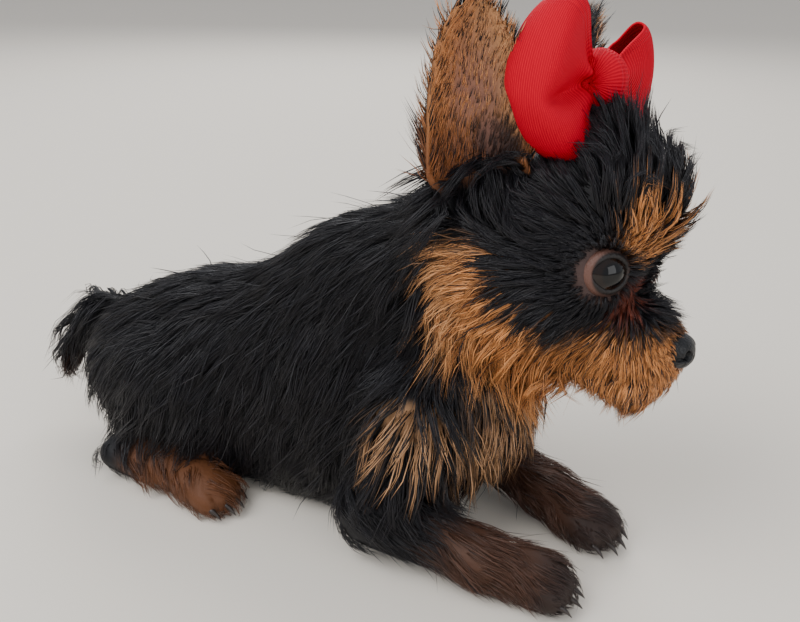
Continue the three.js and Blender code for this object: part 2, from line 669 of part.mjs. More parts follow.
// Colours
const BLACK_COAT = 0x17171b;
const TAN_COAT = 0xa5683a;
const BROWN_COAT = 0x4a3020;
const EYE_DARK = 0x120d0a;
const NOSE_LEATHER = 0x202225;
const RIBBON_RED = 0xd01020;
const COLOURS = {
  torso: BLACK_COAT,
  neck: BLACK_COAT,
  head: BLACK_COAT,
  tail: BLACK_COAT,
  ear_left: TAN_COAT,
  ear_right: TAN_COAT,
  eye_left: EYE_DARK,
  eye_right: EYE_DARK,
  nose: NOSE_LEATHER,
  bow_knot: RIBBON_RED,
  bow_loop_left: RIBBON_RED,
  bow_loop_right: RIBBON_RED,
};

const model = new THREE.Group();
model.name = "yorkshire_terrier_puppy";
for (const [name, solid] of Object.entries(made)) {
  const { vertProperties, triVerts } = largest(solid.subtract(floorBlock)).getMesh();
  const g = new THREE.BufferGeometry();
  g.setAttribute("position", new THREE.Float32BufferAttribute(vertProperties, 3));
  g.setIndex([...triVerts]);
  g.computeVertexNormals();
  const material = new THREE.MeshStandardMaterial({ color: COLOURS[name] ?? BROWN_COAT, roughness: 0.8 });
  const mesh = new THREE.Mesh(g, material);
  mesh.name = name;
  model.add(mesh);
}

export default model;
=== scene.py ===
"""A Yorkshire terrier puppy with a ribbon bow: skin, coat, eyes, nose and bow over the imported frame.

The puppy faces +X, its left side is +Y, +Z is up and the floor is at zero. Sizes here are in millimetres and
are turned to metres when a mesh is made.
"""
from __future__ import annotations

import logging
import math
from dataclasses import dataclass, field
from enum import Enum

import bpy
import numpy as np
from mathutils import Matrix, Vector
from mathutils.kdtree import KDTree

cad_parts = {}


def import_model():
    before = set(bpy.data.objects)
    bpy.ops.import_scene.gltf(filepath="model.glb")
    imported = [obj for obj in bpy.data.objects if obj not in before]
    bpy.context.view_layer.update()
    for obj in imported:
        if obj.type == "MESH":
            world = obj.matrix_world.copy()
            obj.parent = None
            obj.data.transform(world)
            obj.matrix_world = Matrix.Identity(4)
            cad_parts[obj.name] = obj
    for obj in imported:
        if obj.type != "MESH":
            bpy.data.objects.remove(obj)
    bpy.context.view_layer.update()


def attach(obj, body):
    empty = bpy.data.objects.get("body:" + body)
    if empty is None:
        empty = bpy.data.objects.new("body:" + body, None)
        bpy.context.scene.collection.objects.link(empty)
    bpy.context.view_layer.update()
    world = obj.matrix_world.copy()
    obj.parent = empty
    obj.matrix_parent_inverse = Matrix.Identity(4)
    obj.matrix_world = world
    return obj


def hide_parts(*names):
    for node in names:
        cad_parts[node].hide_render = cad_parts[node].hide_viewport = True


LOG = logging.getLogger("puppy")
MM = 0.001
Array = np.ndarray
Triple = tuple[float, float, float]
Tree = bpy.types.NodeTree
Socket = bpy.types.NodeSocket


def vec(*values: float) -> Array:
    """Return the values as an array of floats."""
    return np.array(values, dtype=float)


def unit(v: Array) -> Array:
    """Return rows of v at length one."""
    return v / np.maximum(np.linalg.norm(v, axis=-1, keepdims=True), 1e-9)


def step01(x: Array, low: float, high: float) -> Array:
    """Return a smooth step of x from 0 at low to 1 at high."""
    t = np.clip((x - low) / (high - low), 0.0, 1.0)
    return t * t * (3.0 - 2.0 * t)


def mix(a: Array, b: Array, t: Array) -> Array:
    """Return rows of a moved towards b by t."""
    return a + (b - a) * np.asarray(t)[..., None]


def rows(x: Array | float, y: Array | float, z: Array | float) -> Array:
    """Return X, Y and Z, each an array or one value, as rows of points."""
    return np.stack(np.broadcast_arrays(x, y, z), axis=1)


def apart(q: Array, at: Triple, radii: Triple = (1, 1, 1)) -> Array:
    """Return how far points lie from a place, counted in the radii given."""
    return np.linalg.norm((q - vec(*at)) / vec(*radii), axis=1)


def folded(q: Array) -> Array:
    """Return points with those of the right side laid over the left."""
    return q * vec(1, 0, 1) + np.abs(q) * vec(0, 1, 0)


def away(q: Array, at: Triple, radii: Triple = (1, 1, 1)) -> Array:
    """Return how far points lie from a place on the left or its mirror image, counted in the radii given."""
    return apart(folded(q), at, radii)


def linear(red: int, green: int, blue: int) -> Array:
    """Return a display colour of 0 to 255 as linear light."""
    c = vec(red, green, blue) / 255.0
    return np.where(c <= 0.04045, c / 12.92, ((c + 0.055) / 1.055) ** 2.4)


# Forms of the flesh


@dataclass(frozen=True)
class Egg:
    """An ellipsoid: its centre and three radii."""

    at: Triple
    radii: Triple

    def distance(self, p: Array) -> Array:
        """Return the signed distance of points p to the egg.

        Args:
            p: points.

        Returns:
            One distance for each point.
        """
        d = p - vec(*self.at)
        r = vec(*self.radii)
        near = np.linalg.norm(d / r, axis=1)
        slope = np.linalg.norm(d / r**2, axis=1)
        return near * (near - 1.0) / np.maximum(slope, 1e-6)

    def balls(self) -> list[tuple[Array, Array]]:
        """Return the egg as one ball: its centre and radii."""
        return [(vec(*self.at), vec(*self.radii))]


@dataclass(frozen=True)
class Limb:
    """A round stick: its two ends and the radius at each."""

    start: Triple
    end: Triple
    start_radius: float
    end_radius: float

    def distance(self, p: Array) -> Array:
        """Return the signed distance of points p to the limb.

        Args:
            p: points.

        Returns:
            One distance for each point.
        """
        a = vec(*self.start)
        along = vec(*self.end) - a
        t = np.clip((p - a) @ along / (along @ along), 0.0, 1.0)
        radius = self.start_radius + (self.end_radius - self.start_radius) * t
        return np.linalg.norm(p - a - t[:, None] * along, axis=1) - radius

    def balls(self) -> list[tuple[Array, Array]]:
        """Return the limb as a row of balls."""
        a = vec(*self.start)
        b = vec(*self.end)
        steps = 2 + int(np.linalg.norm(b - a) / (0.35 * min(self.start_radius, self.end_radius)))
        places = np.linspace(0.0, 1.0, steps)
        radii = self.start_radius + (self.end_radius - self.start_radius) * places
        return [(a + (b - a) * t, np.full(3, r)) for t, r in zip(places, radii)]


def merged(softness: float, distances: list[Array]) -> Array:
    """Return a smooth union of distances.

    Args:
        softness: how far the forms flow into each other.
        distances: one array for each form.

    Returns:
        The joined signed distance.
    """
    whole = distances[0]
    for other in distances[1:]:
        near = np.maximum(softness - np.abs(whole - other), 0.0) / softness
        whole = np.minimum(whole, other) - near * near * softness / 4.0
    return whole


def mirrored(at: Triple, side: int) -> Triple:
    """Return a place on the left (side 1) or the right (side -1)."""
    return (at[0], side * at[1], at[2])


class Side(Enum):
    """The two sides of the puppy, with the sign of Y."""

    LEFT = 1
    RIGHT = -1


@dataclass(frozen=True)
class ForelegPose:
    """Joints of one foreleg and the heading of its paw in degrees."""

    shoulder: Triple
    elbow: Triple
    wrist: Triple
    paw: Triple
    heading: float


FORELEGS = {
    Side.RIGHT: ForelegPose((56, -17, 46), (48, -26, 17), (82, -25, 10.5), (97, -22.5, 8), 9),
    Side.LEFT: ForelegPose((58, 17, 46), (52, 26, 17), (87, 16, 10.5), (101, 11, 8), -18),
}
HIND_THIGH = (-36, 25, 28)
HIND_HOCK = (-50, 34, 8)
HIND_TOES = (-12, 34, 7.5)
TOES = 4
TOE_STEP = 4.4
TAIL = ((-74, 0, 44), (-85, -3, 44), (-91, -8, 37), (-93, -13, 27))
EYE_AT = (20.2, 11.2, 0.5)
EYE_LOOK = (0.8, 0.6, 0.1)
EYE_RADIUS = 6.4
EYE_OPENING = (4.3, 4.05)
NOSE_AT = (39.2, 0.0, -17.4)
NOSE_RADII = (4.8, 5.5, 4.4)
NOSTRIL_AT = (4.1, 2.6, 0.1)
NOSTRIL_RADII = (3, 1.25, 1.35)
SLIT_AT = (3.2, 4.3, -0.9)
SLIT_RADII = (3, 1.9, 0.62)
MOUTH_LEVEL = -24.6
EAR_ROOT = (-11, 19, 8)
EAR_TIP = (-11, 35, 62)
EAR_LENGTH = 54.0
EAR_WIDTH = 28.0
ROOT_CUP = 1.3
TIP_CUP = 0.6
EAR_TAPER = 2.8
KNOT_AT = (6.5, 0.0, 43.0)
RIBBON_WIDTH = 36.0


def paw_forms(at: Triple, heading: float) -> list[Egg]:
    """Return the pad and four toes of a paw.

    Args:
        at: middle of the paw.
        heading: way it points, in degrees from +X.

    Returns:
        The eggs of the paw.
    """
    x, y, z = at
    c = math.cos(math.radians(heading))
    s = math.sin(math.radians(heading))
    forms = [Egg((x - 1, y, z), (11, 8.8, 8.4))]
    for k in range(TOES):
        spread = (k - 1.5) * TOE_STEP
        ahead = 9 - 0.5 * abs(spread)
        forms.append(Egg((x + ahead * c - spread * s, y + ahead * s + spread * c, z - 1.8), (4.6, 3, 4.8)))
    return forms


@dataclass
class Anatomy:
    """The flesh under the coat, as named forms joined smoothly."""

    head_at: Triple = (84.6, 0.0, 97.0)
    head_turn: float = -7.0
    head_nod: float = 2.0
    head_tilt: float = -6.0
    trunk: list = field(default_factory=lambda: [
        Egg((-53, 0, 30), (29, 31, 28)),
        Egg((-18, 0, 34), (44, 32, 38)),
        Egg((22, 0, 43), (40, 30, 48)),
        Egg((58, 0, 47), (25, 24, 28)),
    ])
    neck: Limb = Limb((34, 0, 79), (70, 0, 92), 21, 21)
    topknot: Limb = Limb((9, 0, 22), (8, 0, 38), 14, 7.5)
    coat_depth: float = 3.2

    def __post_init__(self) -> None:
        """Work out the head's frame and the forms that come in pairs."""
        turn = Matrix.Rotation(math.radians(self.head_turn), 3, "Z")
        nod = Matrix.Rotation(math.radians(self.head_nod), 3, "Y")
        tilt = Matrix.Rotation(math.radians(self.head_tilt), 3, "X")
        self.head_axes = np.array(turn @ nod @ tilt)
        braincase = [Egg((-2, 0, 2), (27, 23, 22)), Egg((12, 0, 5), (16, 18, 15))]
        forehead = Egg((14, 0, 15), (19, 18, 15))
        cheeks = [Egg((4, s * 13, -10), (17, 11, 13)) for s in (1, -1)]
        muzzle = Limb((16, 0, -11), (33, 0, -17.8), 12, 9)
        jaw = Limb((6, 0, -20), (30, 0, -26.4), 10.5, 7)
        lips = [Egg((32, s * 5.2, -21), (8, 5.8, 6)) for s in (1, -1)]
        orbits = [Egg(mirrored(EYE_AT, s), (8.2, 8.2, 8.2)) for s in (1, -1)]
        self.skull = braincase + [forehead] + cheeks + [muzzle, jaw] + lips + orbits
        self.legs = [self.foreleg(pose) for pose in FORELEGS.values()]
        self.legs += [self.hindleg(side.value) for side in Side]
        pairs = list(zip(TAIL[:-1], TAIL[1:]))
        self.tail = [Limb(a, b, 8 - i * 1.4, 6.8 - i * 1.4) for i, (a, b) in enumerate(pairs)]

    @staticmethod
    def foreleg(pose: ForelegPose) -> list:
        """Return the forms of one foreleg, from shoulder to toes.

        Args:
            pose: its joints and the heading of its paw.

        Returns:
            The forms.
        """
        sticks = [
            Limb(pose.shoulder, pose.elbow, 17, 13),
            Limb(pose.elbow, pose.wrist, 12, 8.8),
            Limb(pose.wrist, pose.paw, 8.8, 8),
        ]
        return sticks + paw_forms(pose.paw, pose.heading)

    @staticmethod
    def hindleg(side: int) -> list:
        """Return the forms of one folded hind leg.

        Args:
            side: 1 for the left, -1 for the right.

        Returns:
            The forms.
        """
        thigh = Egg(mirrored(HIND_THIGH, side), (30, 13, 26))
        shank = Limb(mirrored(HIND_HOCK, side), mirrored(HIND_TOES, side), 7.4, 6.8)
        return [thigh, shank] + paw_forms(mirrored(HIND_TOES, side), 0)

    def to_head(self, p: Array) -> Array:
        """Return points of the puppy's frame in the head's frame."""
        return (p - vec(*self.head_at)) @ self.head_axes

    def from_head(self, p: Array) -> Array:
        """Return points of the head's frame in the puppy's frame."""
        return p @ self.head_axes.T + vec(*self.head_at)

    def body_field(self, p: Array) -> Array:
        """Return the distance of p to the trunk and neck."""
        trunk = merged(16, [form.distance(p) for form in self.trunk])
        return merged(12, [trunk, self.neck.distance(p)])

    def head_field(self, p: Array) -> Array:
        """Return the distance of p, in the puppy's frame, to the head.

        Args:
            p: points in the puppy's frame.

        Returns:
            One distance for each point.
        """
        q = self.to_head(p)
        skull = merged(7, [form.distance(q) for form in self.skull])
        return merged(6, [skull, self.topknot.distance(q)])

    def on_head(self, p: Array, low: float = -8, high: float = -2) -> Array:
        """Return 1 on the head to 0 off it, changing between two depths under its surface."""
        return step01(-self.head_field(p), low, high)

    def leg_field(self, p: Array) -> Array:
        """Return the distance of p to the nearest leg."""
        return np.min([merged(5, [form.distance(p) for form in leg]) for leg in self.legs], axis=0)

    def tail_field(self, p: Array) -> Array:
        """Return the distance of p to the tail."""
        return merged(4, [form.distance(p) for form in self.tail])

    def field(self, p: Array) -> Array:
        """Return the distance of p to the whole puppy, ears left out."""
        torso = merged(5, [self.body_field(p), self.leg_field(p), self.tail_field(p)])
        return merged(8, [torso, self.head_field(p)])

    def normal(self, p: Array) -> Array:
        """Return the way out of the puppy at p.

        Args:
            p: points in the puppy's frame.

        Returns:
            One unit vector for each point.
        """
        step = 0.4
        shifts = np.eye(3) * step
        return unit(np.stack([self.field(p + d) - self.field(p - d) for d in shifts], axis=1))

    def depth(self, p: Array) -> Array:
        """Return how far the skin lies under the outer form at p.

        Args:
            p: points in the puppy's frame.

        Returns:
            One depth for each point.
        """
        q = self.to_head(p)
        on_head = self.on_head(p, -8, 2)
        muzzle = step01(q[:, 0], 8, 24) * on_head
        low = step01(-p[:, 2], -22, -8)
        return self.coat_depth - on_head - 0.9 * muzzle - 1.6 * low

    def all_balls(self) -> list[tuple[Array, Array, bool]]:
        """Return every form as balls: centre, radii and whether it is in the head's frame."""
        found = []
        plain = self.trunk + [self.neck] + self.tail + [form for leg in self.legs for form in leg]
        for form in plain:
            found += [(at, radii, False) for at, radii in form.balls()]
        for form in self.skull + [self.topknot]:
            found += [(at, radii, True) for at, radii in form.balls()]
        return found


# Ears


@dataclass(frozen=True)
class EarLeaf:
    """A cupped ear: its surface by rise from root to tip and by wrap from edge to edge."""

    side: int
    thick: float = 1.9

    def frame(self) -> tuple[Array, Array, Array, Array]:
        """Return the root, the way up, the way that the cup faces and the way across."""
        root = vec(*mirrored(EAR_ROOT, self.side))
        axis = unit(vec(*mirrored(EAR_TIP, self.side)) - root)
        face = vec(0.55, self.side * 0.84, 0)
        face = unit(face - axis * (face @ axis))
        return root, axis, face, np.cross(axis, face)

    def point(self, rise: float, wrap: float, offset: float) -> Array:
        """Return a point of the ear in the head's frame.

        Args:
            rise: 0 at the root to 1 at the tip.
            wrap: -1 at one edge to 1 at the other.
            offset: distance towards the back of the ear.

        Returns:
            The point.
        """
        root, axis, face, across = self.frame()
        outline = max(0.06, 1 - rise**EAR_TAPER) ** 0.55 * (0.8 + 0.2 * min(1, rise / 0.4))
        half = EAR_WIDTH / 2 * outline - 0.3
        cup = ROOT_CUP + (TIP_CUP - ROOT_CUP) * rise**0.6
        radius = half / math.sin(cup)
        middle = root + axis * (EAR_LENGTH * rise - 4 * (1 - rise))
        curl = cup * wrap
        inwards = radius * 0.6 - (radius + offset) * math.cos(curl)
        return middle + face * inwards + across * (radius + offset) * math.sin(curl)

    def shell(self, steps: int = 40, columns: int = 24) -> tuple[Array, list]:
        """Return points and faces of the ear as a closed shell in the head's frame.

        Args:
            steps: rows from root to tip.
            columns: faces from edge to edge.

        Returns:
            The points, and the indices of each face.
        """
        rings = []
        for i in range(steps + 1):
            rise = i / steps
            thick = self.thick * (1 - 0.45 * rise)
            wraps = [2 * k / columns - 1 for k in range(columns + 1)]
            back = [self.point(rise, w, thick / 2) for w in wraps]
            front = [self.point(rise, w, -thick / 2) for w in reversed(wraps)]
            rings.append(back + front)
        count = len(rings[0])
        faces = [tuple(range(count - 1, -1, -1)), tuple(range(steps * count, steps * count + count))]
        faces += net(steps + 1, count, around=True)
        return np.array([p for ring in rings for p in ring]), faces


# Markings


class Tone:
    """Colours of the coat and skin as linear light."""

    BLACK = linear(17, 17, 21)
    # Bluish grey laid on the tips of the black hairs: a painted sheen.
    BLACK_SHEEN = linear(44, 46, 55)
    TAN = linear(198, 134, 80)
    DEEP_TAN = linear(138, 84, 48)
    PALE_TAN = linear(208, 160, 116)
    BROWN = linear(84, 54, 38)
    DARK_BROWN = linear(48, 34, 29)
    EAR_TAN = linear(190, 128, 80)
    BARE_SKIN = linear(126, 88, 76)
    RED_STAIN = linear(120, 52, 30)
    LID = linear(70, 52, 48)
    LID_RIM = linear(18, 13, 13)
    IRIS_DARK = linear(14, 8, 6)
    IRIS_LIGHT = linear(26, 15, 10)
    PUPIL = linear(3, 4, 6)
    EYE_EDGE = linear(16, 12, 12)
    WARM_BLACK = linear(34, 26, 22)
    CHEST_TAN = 0.75 * PALE_TAN + 0.1 * DEEP_TAN


BROW_AT = (30, 9, 9)
BROW_RADII = (7.5, 6, 6.5)
LID_REACH = 9.5
CROWN_SIDE = (16, 14, 14)
STAIN_AT = (27, 7.5, -5)
STAIN_RADII = (4, 3, 4.5)
SHOULDER_AT = (62, 25, 50)
SHOULDER_RADII = (13, 12, 5)


@dataclass
class Markings:
    """Where the coat is black, tan or brown."""

    anatomy: Anatomy

    def head_tan(self, q: Array) -> Array:
        """Return how tan the head is at points q of its own frame.

        Args:
            q: points in the head's frame.

        Returns:
            0 for black to 1 for tan.
        """
        x = q[:, 0]
        y = np.abs(q[:, 1])
        z = q[:, 2]
        line = np.interp(x, [-18, -10, 0, 8, 16, 24, 32, 40], [-9, 1, 1.5, -7, -13.5, -12, -12, -13])
        low = step01(line - z, -1.5, 2.5) * step01(x, -17, -9)
        bridge = step01(z, -15, -10) * step01(7 - y, -2, 2.5) * step01(x, 22, 28)
        brow = step01(1.2 - away(q, BROW_AT, BROW_RADII), 0, 0.4)
        return np.clip(np.maximum(low * (1 - 0.75 * bridge), brow), 0, 1)

    def colour(self, p: Array, ear: Array, inner: Array, rim: Array) -> Array:
        """Return the coat's colour.

        Args:
            p: points in the puppy's frame.
            ear: 1 on the ears, else 0.
            inner: 1 on the inner face of an ear, else 0.
            rim: place across the ear, -1 at the rear edge to 1 at the front edge.

        Returns:
            Linear colours, one row for each point.
        """
        q = self.anatomy.to_head(p)
        on_head = self.anatomy.on_head(p, -7, -1) * step01(q[:, 0], -30, -20)
        tan = self.head_tan(q) * on_head
        cheek = mix(Tone.TAN, Tone.PALE_TAN, step01(-q[:, 0], -6, 12) * 0.55)
        shade = mix(Tone.BLACK, cheek, tan)
        chin = step01(-q[:, 2], 24, 31) * on_head * step01(q[:, 0], 6, 16)
        shade = mix(shade, Tone.DEEP_TAN, chin * 0.5)
        stain = step01(1.3 - away(q, STAIN_AT, STAIN_RADII), 0, 0.6)
        shade = mix(shade, Tone.RED_STAIN, stain * on_head * 0.8)
        return self.on_ears(self.on_body(shade, p, on_head), q, ear * inner, ear * (1 - inner), rim)

    def on_body(self, shade: Array, p: Array, on_head: Array) -> Array:
        """Return the colours with the chest, legs and underside laid over them.

        Args:
            shade: colours so far.
            p: points in the puppy's frame.
            on_head: 1 on the head, else 0.

        Returns:
            Linear colours, one row for each point.
        """
        x, y, z = p.T
        off_head = 1 - on_head
        chest = step01(x, 66, 76) * step01(66 - z, -4, 6) * step01(z, 30, 44) * step01(24 - np.abs(y), -4, 6)
        shoulder = step01(1.25 - away(p, SHOULDER_AT, SHOULDER_RADII), 0, 0.5)
        patch = np.clip(np.maximum(chest, shoulder), 0, 1) * off_head
        shade = mix(shade, Tone.CHEST_TAN, patch * 0.8)
        arm = step01(x, 60, 72) * step01(34 - z, -6, 6) * off_head
        shade = mix(shade, Tone.BROWN, arm * 0.9)
        paw = step01(x, 92, 104) * step01(24 - z, -4, 4) * off_head
        shade = mix(shade, Tone.DARK_BROWN, paw)
        hind = step01(x, -48, -36) * step01(8 - x, -4, 10) * step01(17 - z, -3, 4) * step01(np.abs(y), 22, 28)
        shade = mix(shade, 0.5 * Tone.DEEP_TAN, hind)
        vent = step01(-x, 76, 82) * step01(34 - z, -4, 6) * step01(10 - np.abs(y), -4, 4)
        return mix(shade, Tone.DEEP_TAN, vent * 0.6)

    def on_ears(self, shade: Array, q: Array, inside: Array, outside: Array, rim: Array) -> Array:
        """Return the colours with the ears laid over them.

        Args:
            shade: colours so far.
            q: points in the head's frame.
            inside: 1 on the inner face of an ear.
            outside: 1 on the outer face of an ear.
            rim: place across the ear, -1 at the rear edge to 1 at the front edge.

        Returns:
            Linear colours, one row for each point.
        """
        rise = ear_rise(q)
        pale = 0.5 * step01(rim, -0.5, 0.4) * step01(rise, 0.25, 0.5)
        hair = mix(mix(Tone.EAR_TAN, Tone.PALE_TAN, pale), Tone.DEEP_TAN, step01(0.34 - rise, -0.15, 0.15))
        tuft = np.linalg.norm(np.stack([(rim - 0.35) / 0.45, (rise - 0.32) / 0.14], axis=1), axis=1)
        dark = np.maximum(step01(1.2 - tuft, 0, 0.5), step01(np.abs(rim), 0.86, 0.96))
        hair = mix(hair, 1.3 * Tone.BLACK, dark * 0.92)
        shade = mix(shade, hair, inside)
        return mix(shade, 1.4 * Tone.BLACK, outside * (1 - 0.4 * step01(rise, 0.8, 0.95)))


def ear_rise(q: Array) -> Array:
    """Return the rise along the ears of points in the head's frame, 0 at the root to 1 at the tip."""
    return (q[:, 2] - EAR_ROOT[2]) / EAR_LENGTH


# Mesh helpers


def only(obj: bpy.types.Object) -> bpy.types.Object:
    """Select obj alone, make it active and return it.

    Args:
        obj: the object.

    Returns:
        The same object.
    """
    bpy.ops.object.select_all(action="DESELECT")
    obj.select_set(True)
    bpy.context.view_layer.objects.active = obj
    return obj


def object_of(name: str, points: Array, faces: list) -> bpy.types.Object:
    """Return a new object of points in millimetres and faces.

    Args:
        name: its name.
        points: its vertices.
        faces: indices of each face.

    Returns:
        The object.
    """
    mesh = bpy.data.meshes.new(name)
    mesh.from_pydata((points * MM).tolist(), [], faces)
    mesh.validate()
    obj = bpy.data.objects.new(name, mesh)
    bpy.context.scene.collection.objects.link(obj)
    return obj


def smoothed(obj: bpy.types.Object) -> bpy.types.Object:
    """Shade obj smooth and return it.

    Args:
        obj: the object.

    Returns:
        The same object.
    """
    only(obj)
    bpy.ops.object.shade_smooth()
    return obj


def facing_out(obj: bpy.types.Object) -> bpy.types.Object:
    """Turn all faces of obj outwards and return it.

    Args:
        obj: the object.

    Returns:
        The same object.
    """
    only(obj)
    bpy.ops.object.mode_set(mode="EDIT")
    bpy.ops.mesh.select_all(action="SELECT")
    bpy.ops.mesh.normals_make_consistent(inside=False)
    bpy.ops.object.mode_set(mode="OBJECT")
    return obj


def round_primitive(name: str, segments: int, rings: int) -> tuple[bpy.types.Object, Array]:
    """Add a ball of radius one, to be shaped, and return it with its vertices.

    Args:
        name: its name.
        segments: faces round its equator.
        rings: faces from pole to pole.

    Returns:
        The ball and its vertices.
    """
    bpy.ops.mesh.primitive_uv_sphere_add(segments=segments, ring_count=rings, radius=1.0)
    obj = bpy.context.object
    obj.name = name
    return obj, np.array([vertex.co[:] for vertex in obj.data.vertices])


def net(count: int, columns: int, around: bool = False, along: bool = False, first: int = 0) -> list[tuple]:
    """Return the faces between rows of points.

    Args:
        count: how many rows there are.
        columns: points in each row.
        around: whether a row's last point joins its first.
        along: whether the last row joins the first.
        first: index of the first point.

    Returns:
        Four indices for each face.
    """
    faces = []
    for i in range(count if along else count - 1):
        a = first + i * columns
        b = first + (i + 1) % count * columns
        for k in range(columns if around else columns - 1):
            j = (k + 1) % columns
            faces.append((a + k, a + j, b + j, b + k))
    return faces


def applied(obj: bpy.types.Object, kind: str, **settings: object) -> bpy.types.Object:
    """Add a modifier to obj, apply it and return obj.

    Args:
        obj: the object.
        kind: Blender's name for the modifier.
        settings: values set on it.

    Returns:
        The same object.
    """
    only(obj)
    modifier = obj.modifiers.new(kind.title(), kind)
    for name, value in settings.items():
        setattr(modifier, name, value)
    bpy.ops.object.modifier_apply(modifier=modifier.name)
    return obj


def triangles_object(name: str, points: Array, tris: Array, smooth: bool = True) -> bpy.types.Object:
    """Return a new object of many triangles, made in one go.

    Args:
        name: its name.
        points: vertices in millimetres.
        tris: three indices a row.
        smooth: whether its faces are shaded smooth.

    Returns:
        The object.
    """
    mesh = bpy.data.meshes.new(name)
    mesh.vertices.add(len(points))
    mesh.vertices.foreach_set("co", (points * MM).astype(np.float32).ravel())
    mesh.loops.add(tris.size)
    mesh.loops.foreach_set("vertex_index", tris.astype(np.int32).ravel())
    mesh.polygons.add(len(tris))
    mesh.polygons.foreach_set("loop_start", np.arange(0, tris.size, 3, dtype=np.int32))
    mesh.polygons.foreach_set("use_smooth", np.full(len(tris), smooth))
    mesh.update(calc_edges=True)
    obj = bpy.data.objects.new(name, mesh)
    bpy.context.scene.collection.objects.link(obj)
    return obj


def paint(obj: bpy.types.Object, name: str, colours: Array) -> None:
    """Write a colour for each vertex of obj under the given attribute name.

    Args:
        obj: the object.
        name: the attribute's name.
        colours: linear colours, one row for each vertex.
    """
    layer = obj.data.color_attributes.new(name, "FLOAT_COLOR", "POINT")
    rgba = np.concatenate([colours, np.ones((len(colours), 1))], axis=1)
    layer.data.foreach_set("color", rgba.astype(np.float32).ravel())


def mesh_points(obj: bpy.types.Object) -> Array:
    """Return the vertices of obj in millimetres.

    Args:
        obj: the object.

    Returns:
        One row for each vertex.
    """
    flat = np.empty(len(obj.data.vertices) * 3, dtype=np.float32)
    obj.data.vertices.foreach_get("co", flat)
    return flat.reshape(-1, 3).astype(float) / MM


def set_points(obj: bpy.types.Object, points: Array) -> None:
    """Move the vertices of obj to points in millimetres."""
    obj.data.vertices.foreach_set("co", (points * MM).astype(np.float32).ravel())
    obj.data.update()


# Finishes


def node(tree: Tree, kind: str, **sources: float | Socket) -> bpy.types.Node:
    """Return a new shader node with its sockets set or linked.

    Args:
        tree: the material's nodes.
        kind: its kind, after ShaderNode.
        sources: for each socket, with _ for a blank, its value or the socket that feeds it.

    Returns:
        The node.
    """
    new = tree.nodes.new("ShaderNode" + kind)
    for name, source in sources.items():
        feed(tree, source, new.inputs[name.replace("_", " ")])
    return new


def feed(tree: Tree, source: float | Socket, socket: Socket) -> None:
    """Link source to the socket, or set the socket where source is a value.

    Args:
        tree: the material's nodes.
        source: a value or a socket.
        socket: what is fed.
    """
    if isinstance(source, Socket):
        tree.links.new(source, socket)
    else:
        socket.default_value = source


def sum_node(tree: Tree, operation: str, *terms: float | Socket) -> Socket:
    """Return the result of one sum of the terms, each a value or a socket.

    Args:
        tree: the material's nodes.
        operation: kind of sum.
        terms: values or sockets.

    Returns:
        The socket that holds the result.
    """
    new = tree.nodes.new("ShaderNodeMath")
    new.operation = operation
    for term, socket in zip(terms, new.inputs):
        feed(tree, term, socket)
    return new.outputs[0]


@dataclass(frozen=True)
class Finish:
    """A node material: base colour or attribute, roughness and bump."""

    name: str
    colour: Triple = (0.5, 0.5, 0.5)
    attribute: str | None = None
    roughness: float = 0.5
    specular: float = 0.5
    coat: float = 0.0
    bump: float = 0.0
    grain: float = 400.0

    def build(self) -> bpy.types.Material:
        """Return the material."""
        material = bpy.data.materials.new(self.name)
        material.use_nodes = True
        tree = material.node_tree
        shader = tree.nodes["Principled BSDF"]
        for name, value in (
            ("Base Color", (*self.colour, 1)),
            ("Roughness", self.roughness),
            ("Specular IOR Level", self.specular),
            ("Coat Weight", self.coat),
            ("Coat Roughness", 0.04),
        ):
            shader.inputs[name].default_value = value
        if self.attribute:
            source = node(tree, "Attribute")
            source.attribute_name = self.attribute
            tree.links.new(source.outputs["Color"], shader.inputs["Base Color"])
        if self.bump:
            place = node(tree, "TexCoord")
            noise = node(tree, "TexNoise", Scale=self.grain, Detail=3.0, Vector=place.outputs["Object"])
            bump = node(tree, "Bump", Strength=self.bump, Distance=0.0004, Height=noise.outputs["Fac"])
            tree.links.new(bump.outputs["Normal"], shader.inputs["Normal"])
        return material


FINISHES = {
    "skin": Finish("skin_finish", attribute="Markings", roughness=0.62, specular=0.3, bump=0.5, grain=900),
    "hair": Finish("hair_finish", attribute="Markings", roughness=0.38, specular=0.36),
    "lid": Finish("lid_finish", attribute="Markings", roughness=0.45, specular=0.35, bump=0.6, grain=1800),
    "nose": Finish("nose_finish", colour=tuple(linear(15, 16, 19)), roughness=0.4, specular=0.28, bump=0.9,
                   grain=1500, coat=0.08),
    "claw": Finish("claw_finish", colour=tuple(linear(42, 34, 31)), roughness=0.35),
    "floor": Finish("floor_finish", colour=tuple(linear(226, 219, 208)), roughness=0.9, specular=0.1),
}


def dressed(obj: bpy.types.Object, material: bpy.types.Material,
            replaced: tuple[str, ...] = ()) -> None:
    """Give obj its material, let it ride on the root body and hide the nodes that it stands for.

    Args:
        obj: a finished piece.
        material: its finish.
        replaced: nodes that it stands for.
    """
    obj.data.materials.clear()
    obj.data.materials.append(material)
    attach(obj, "root")
    if replaced:
        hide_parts(*replaced)
    LOG.info("%s: %d faces", obj.name, len(obj.data.polygons))


# Skin

FLESH = ("torso", "neck", "head", "ear_left", "ear_right", "foreleg_left", "foreleg_right")
FLESH += ("hindleg_left", "hindleg_right", "tail")


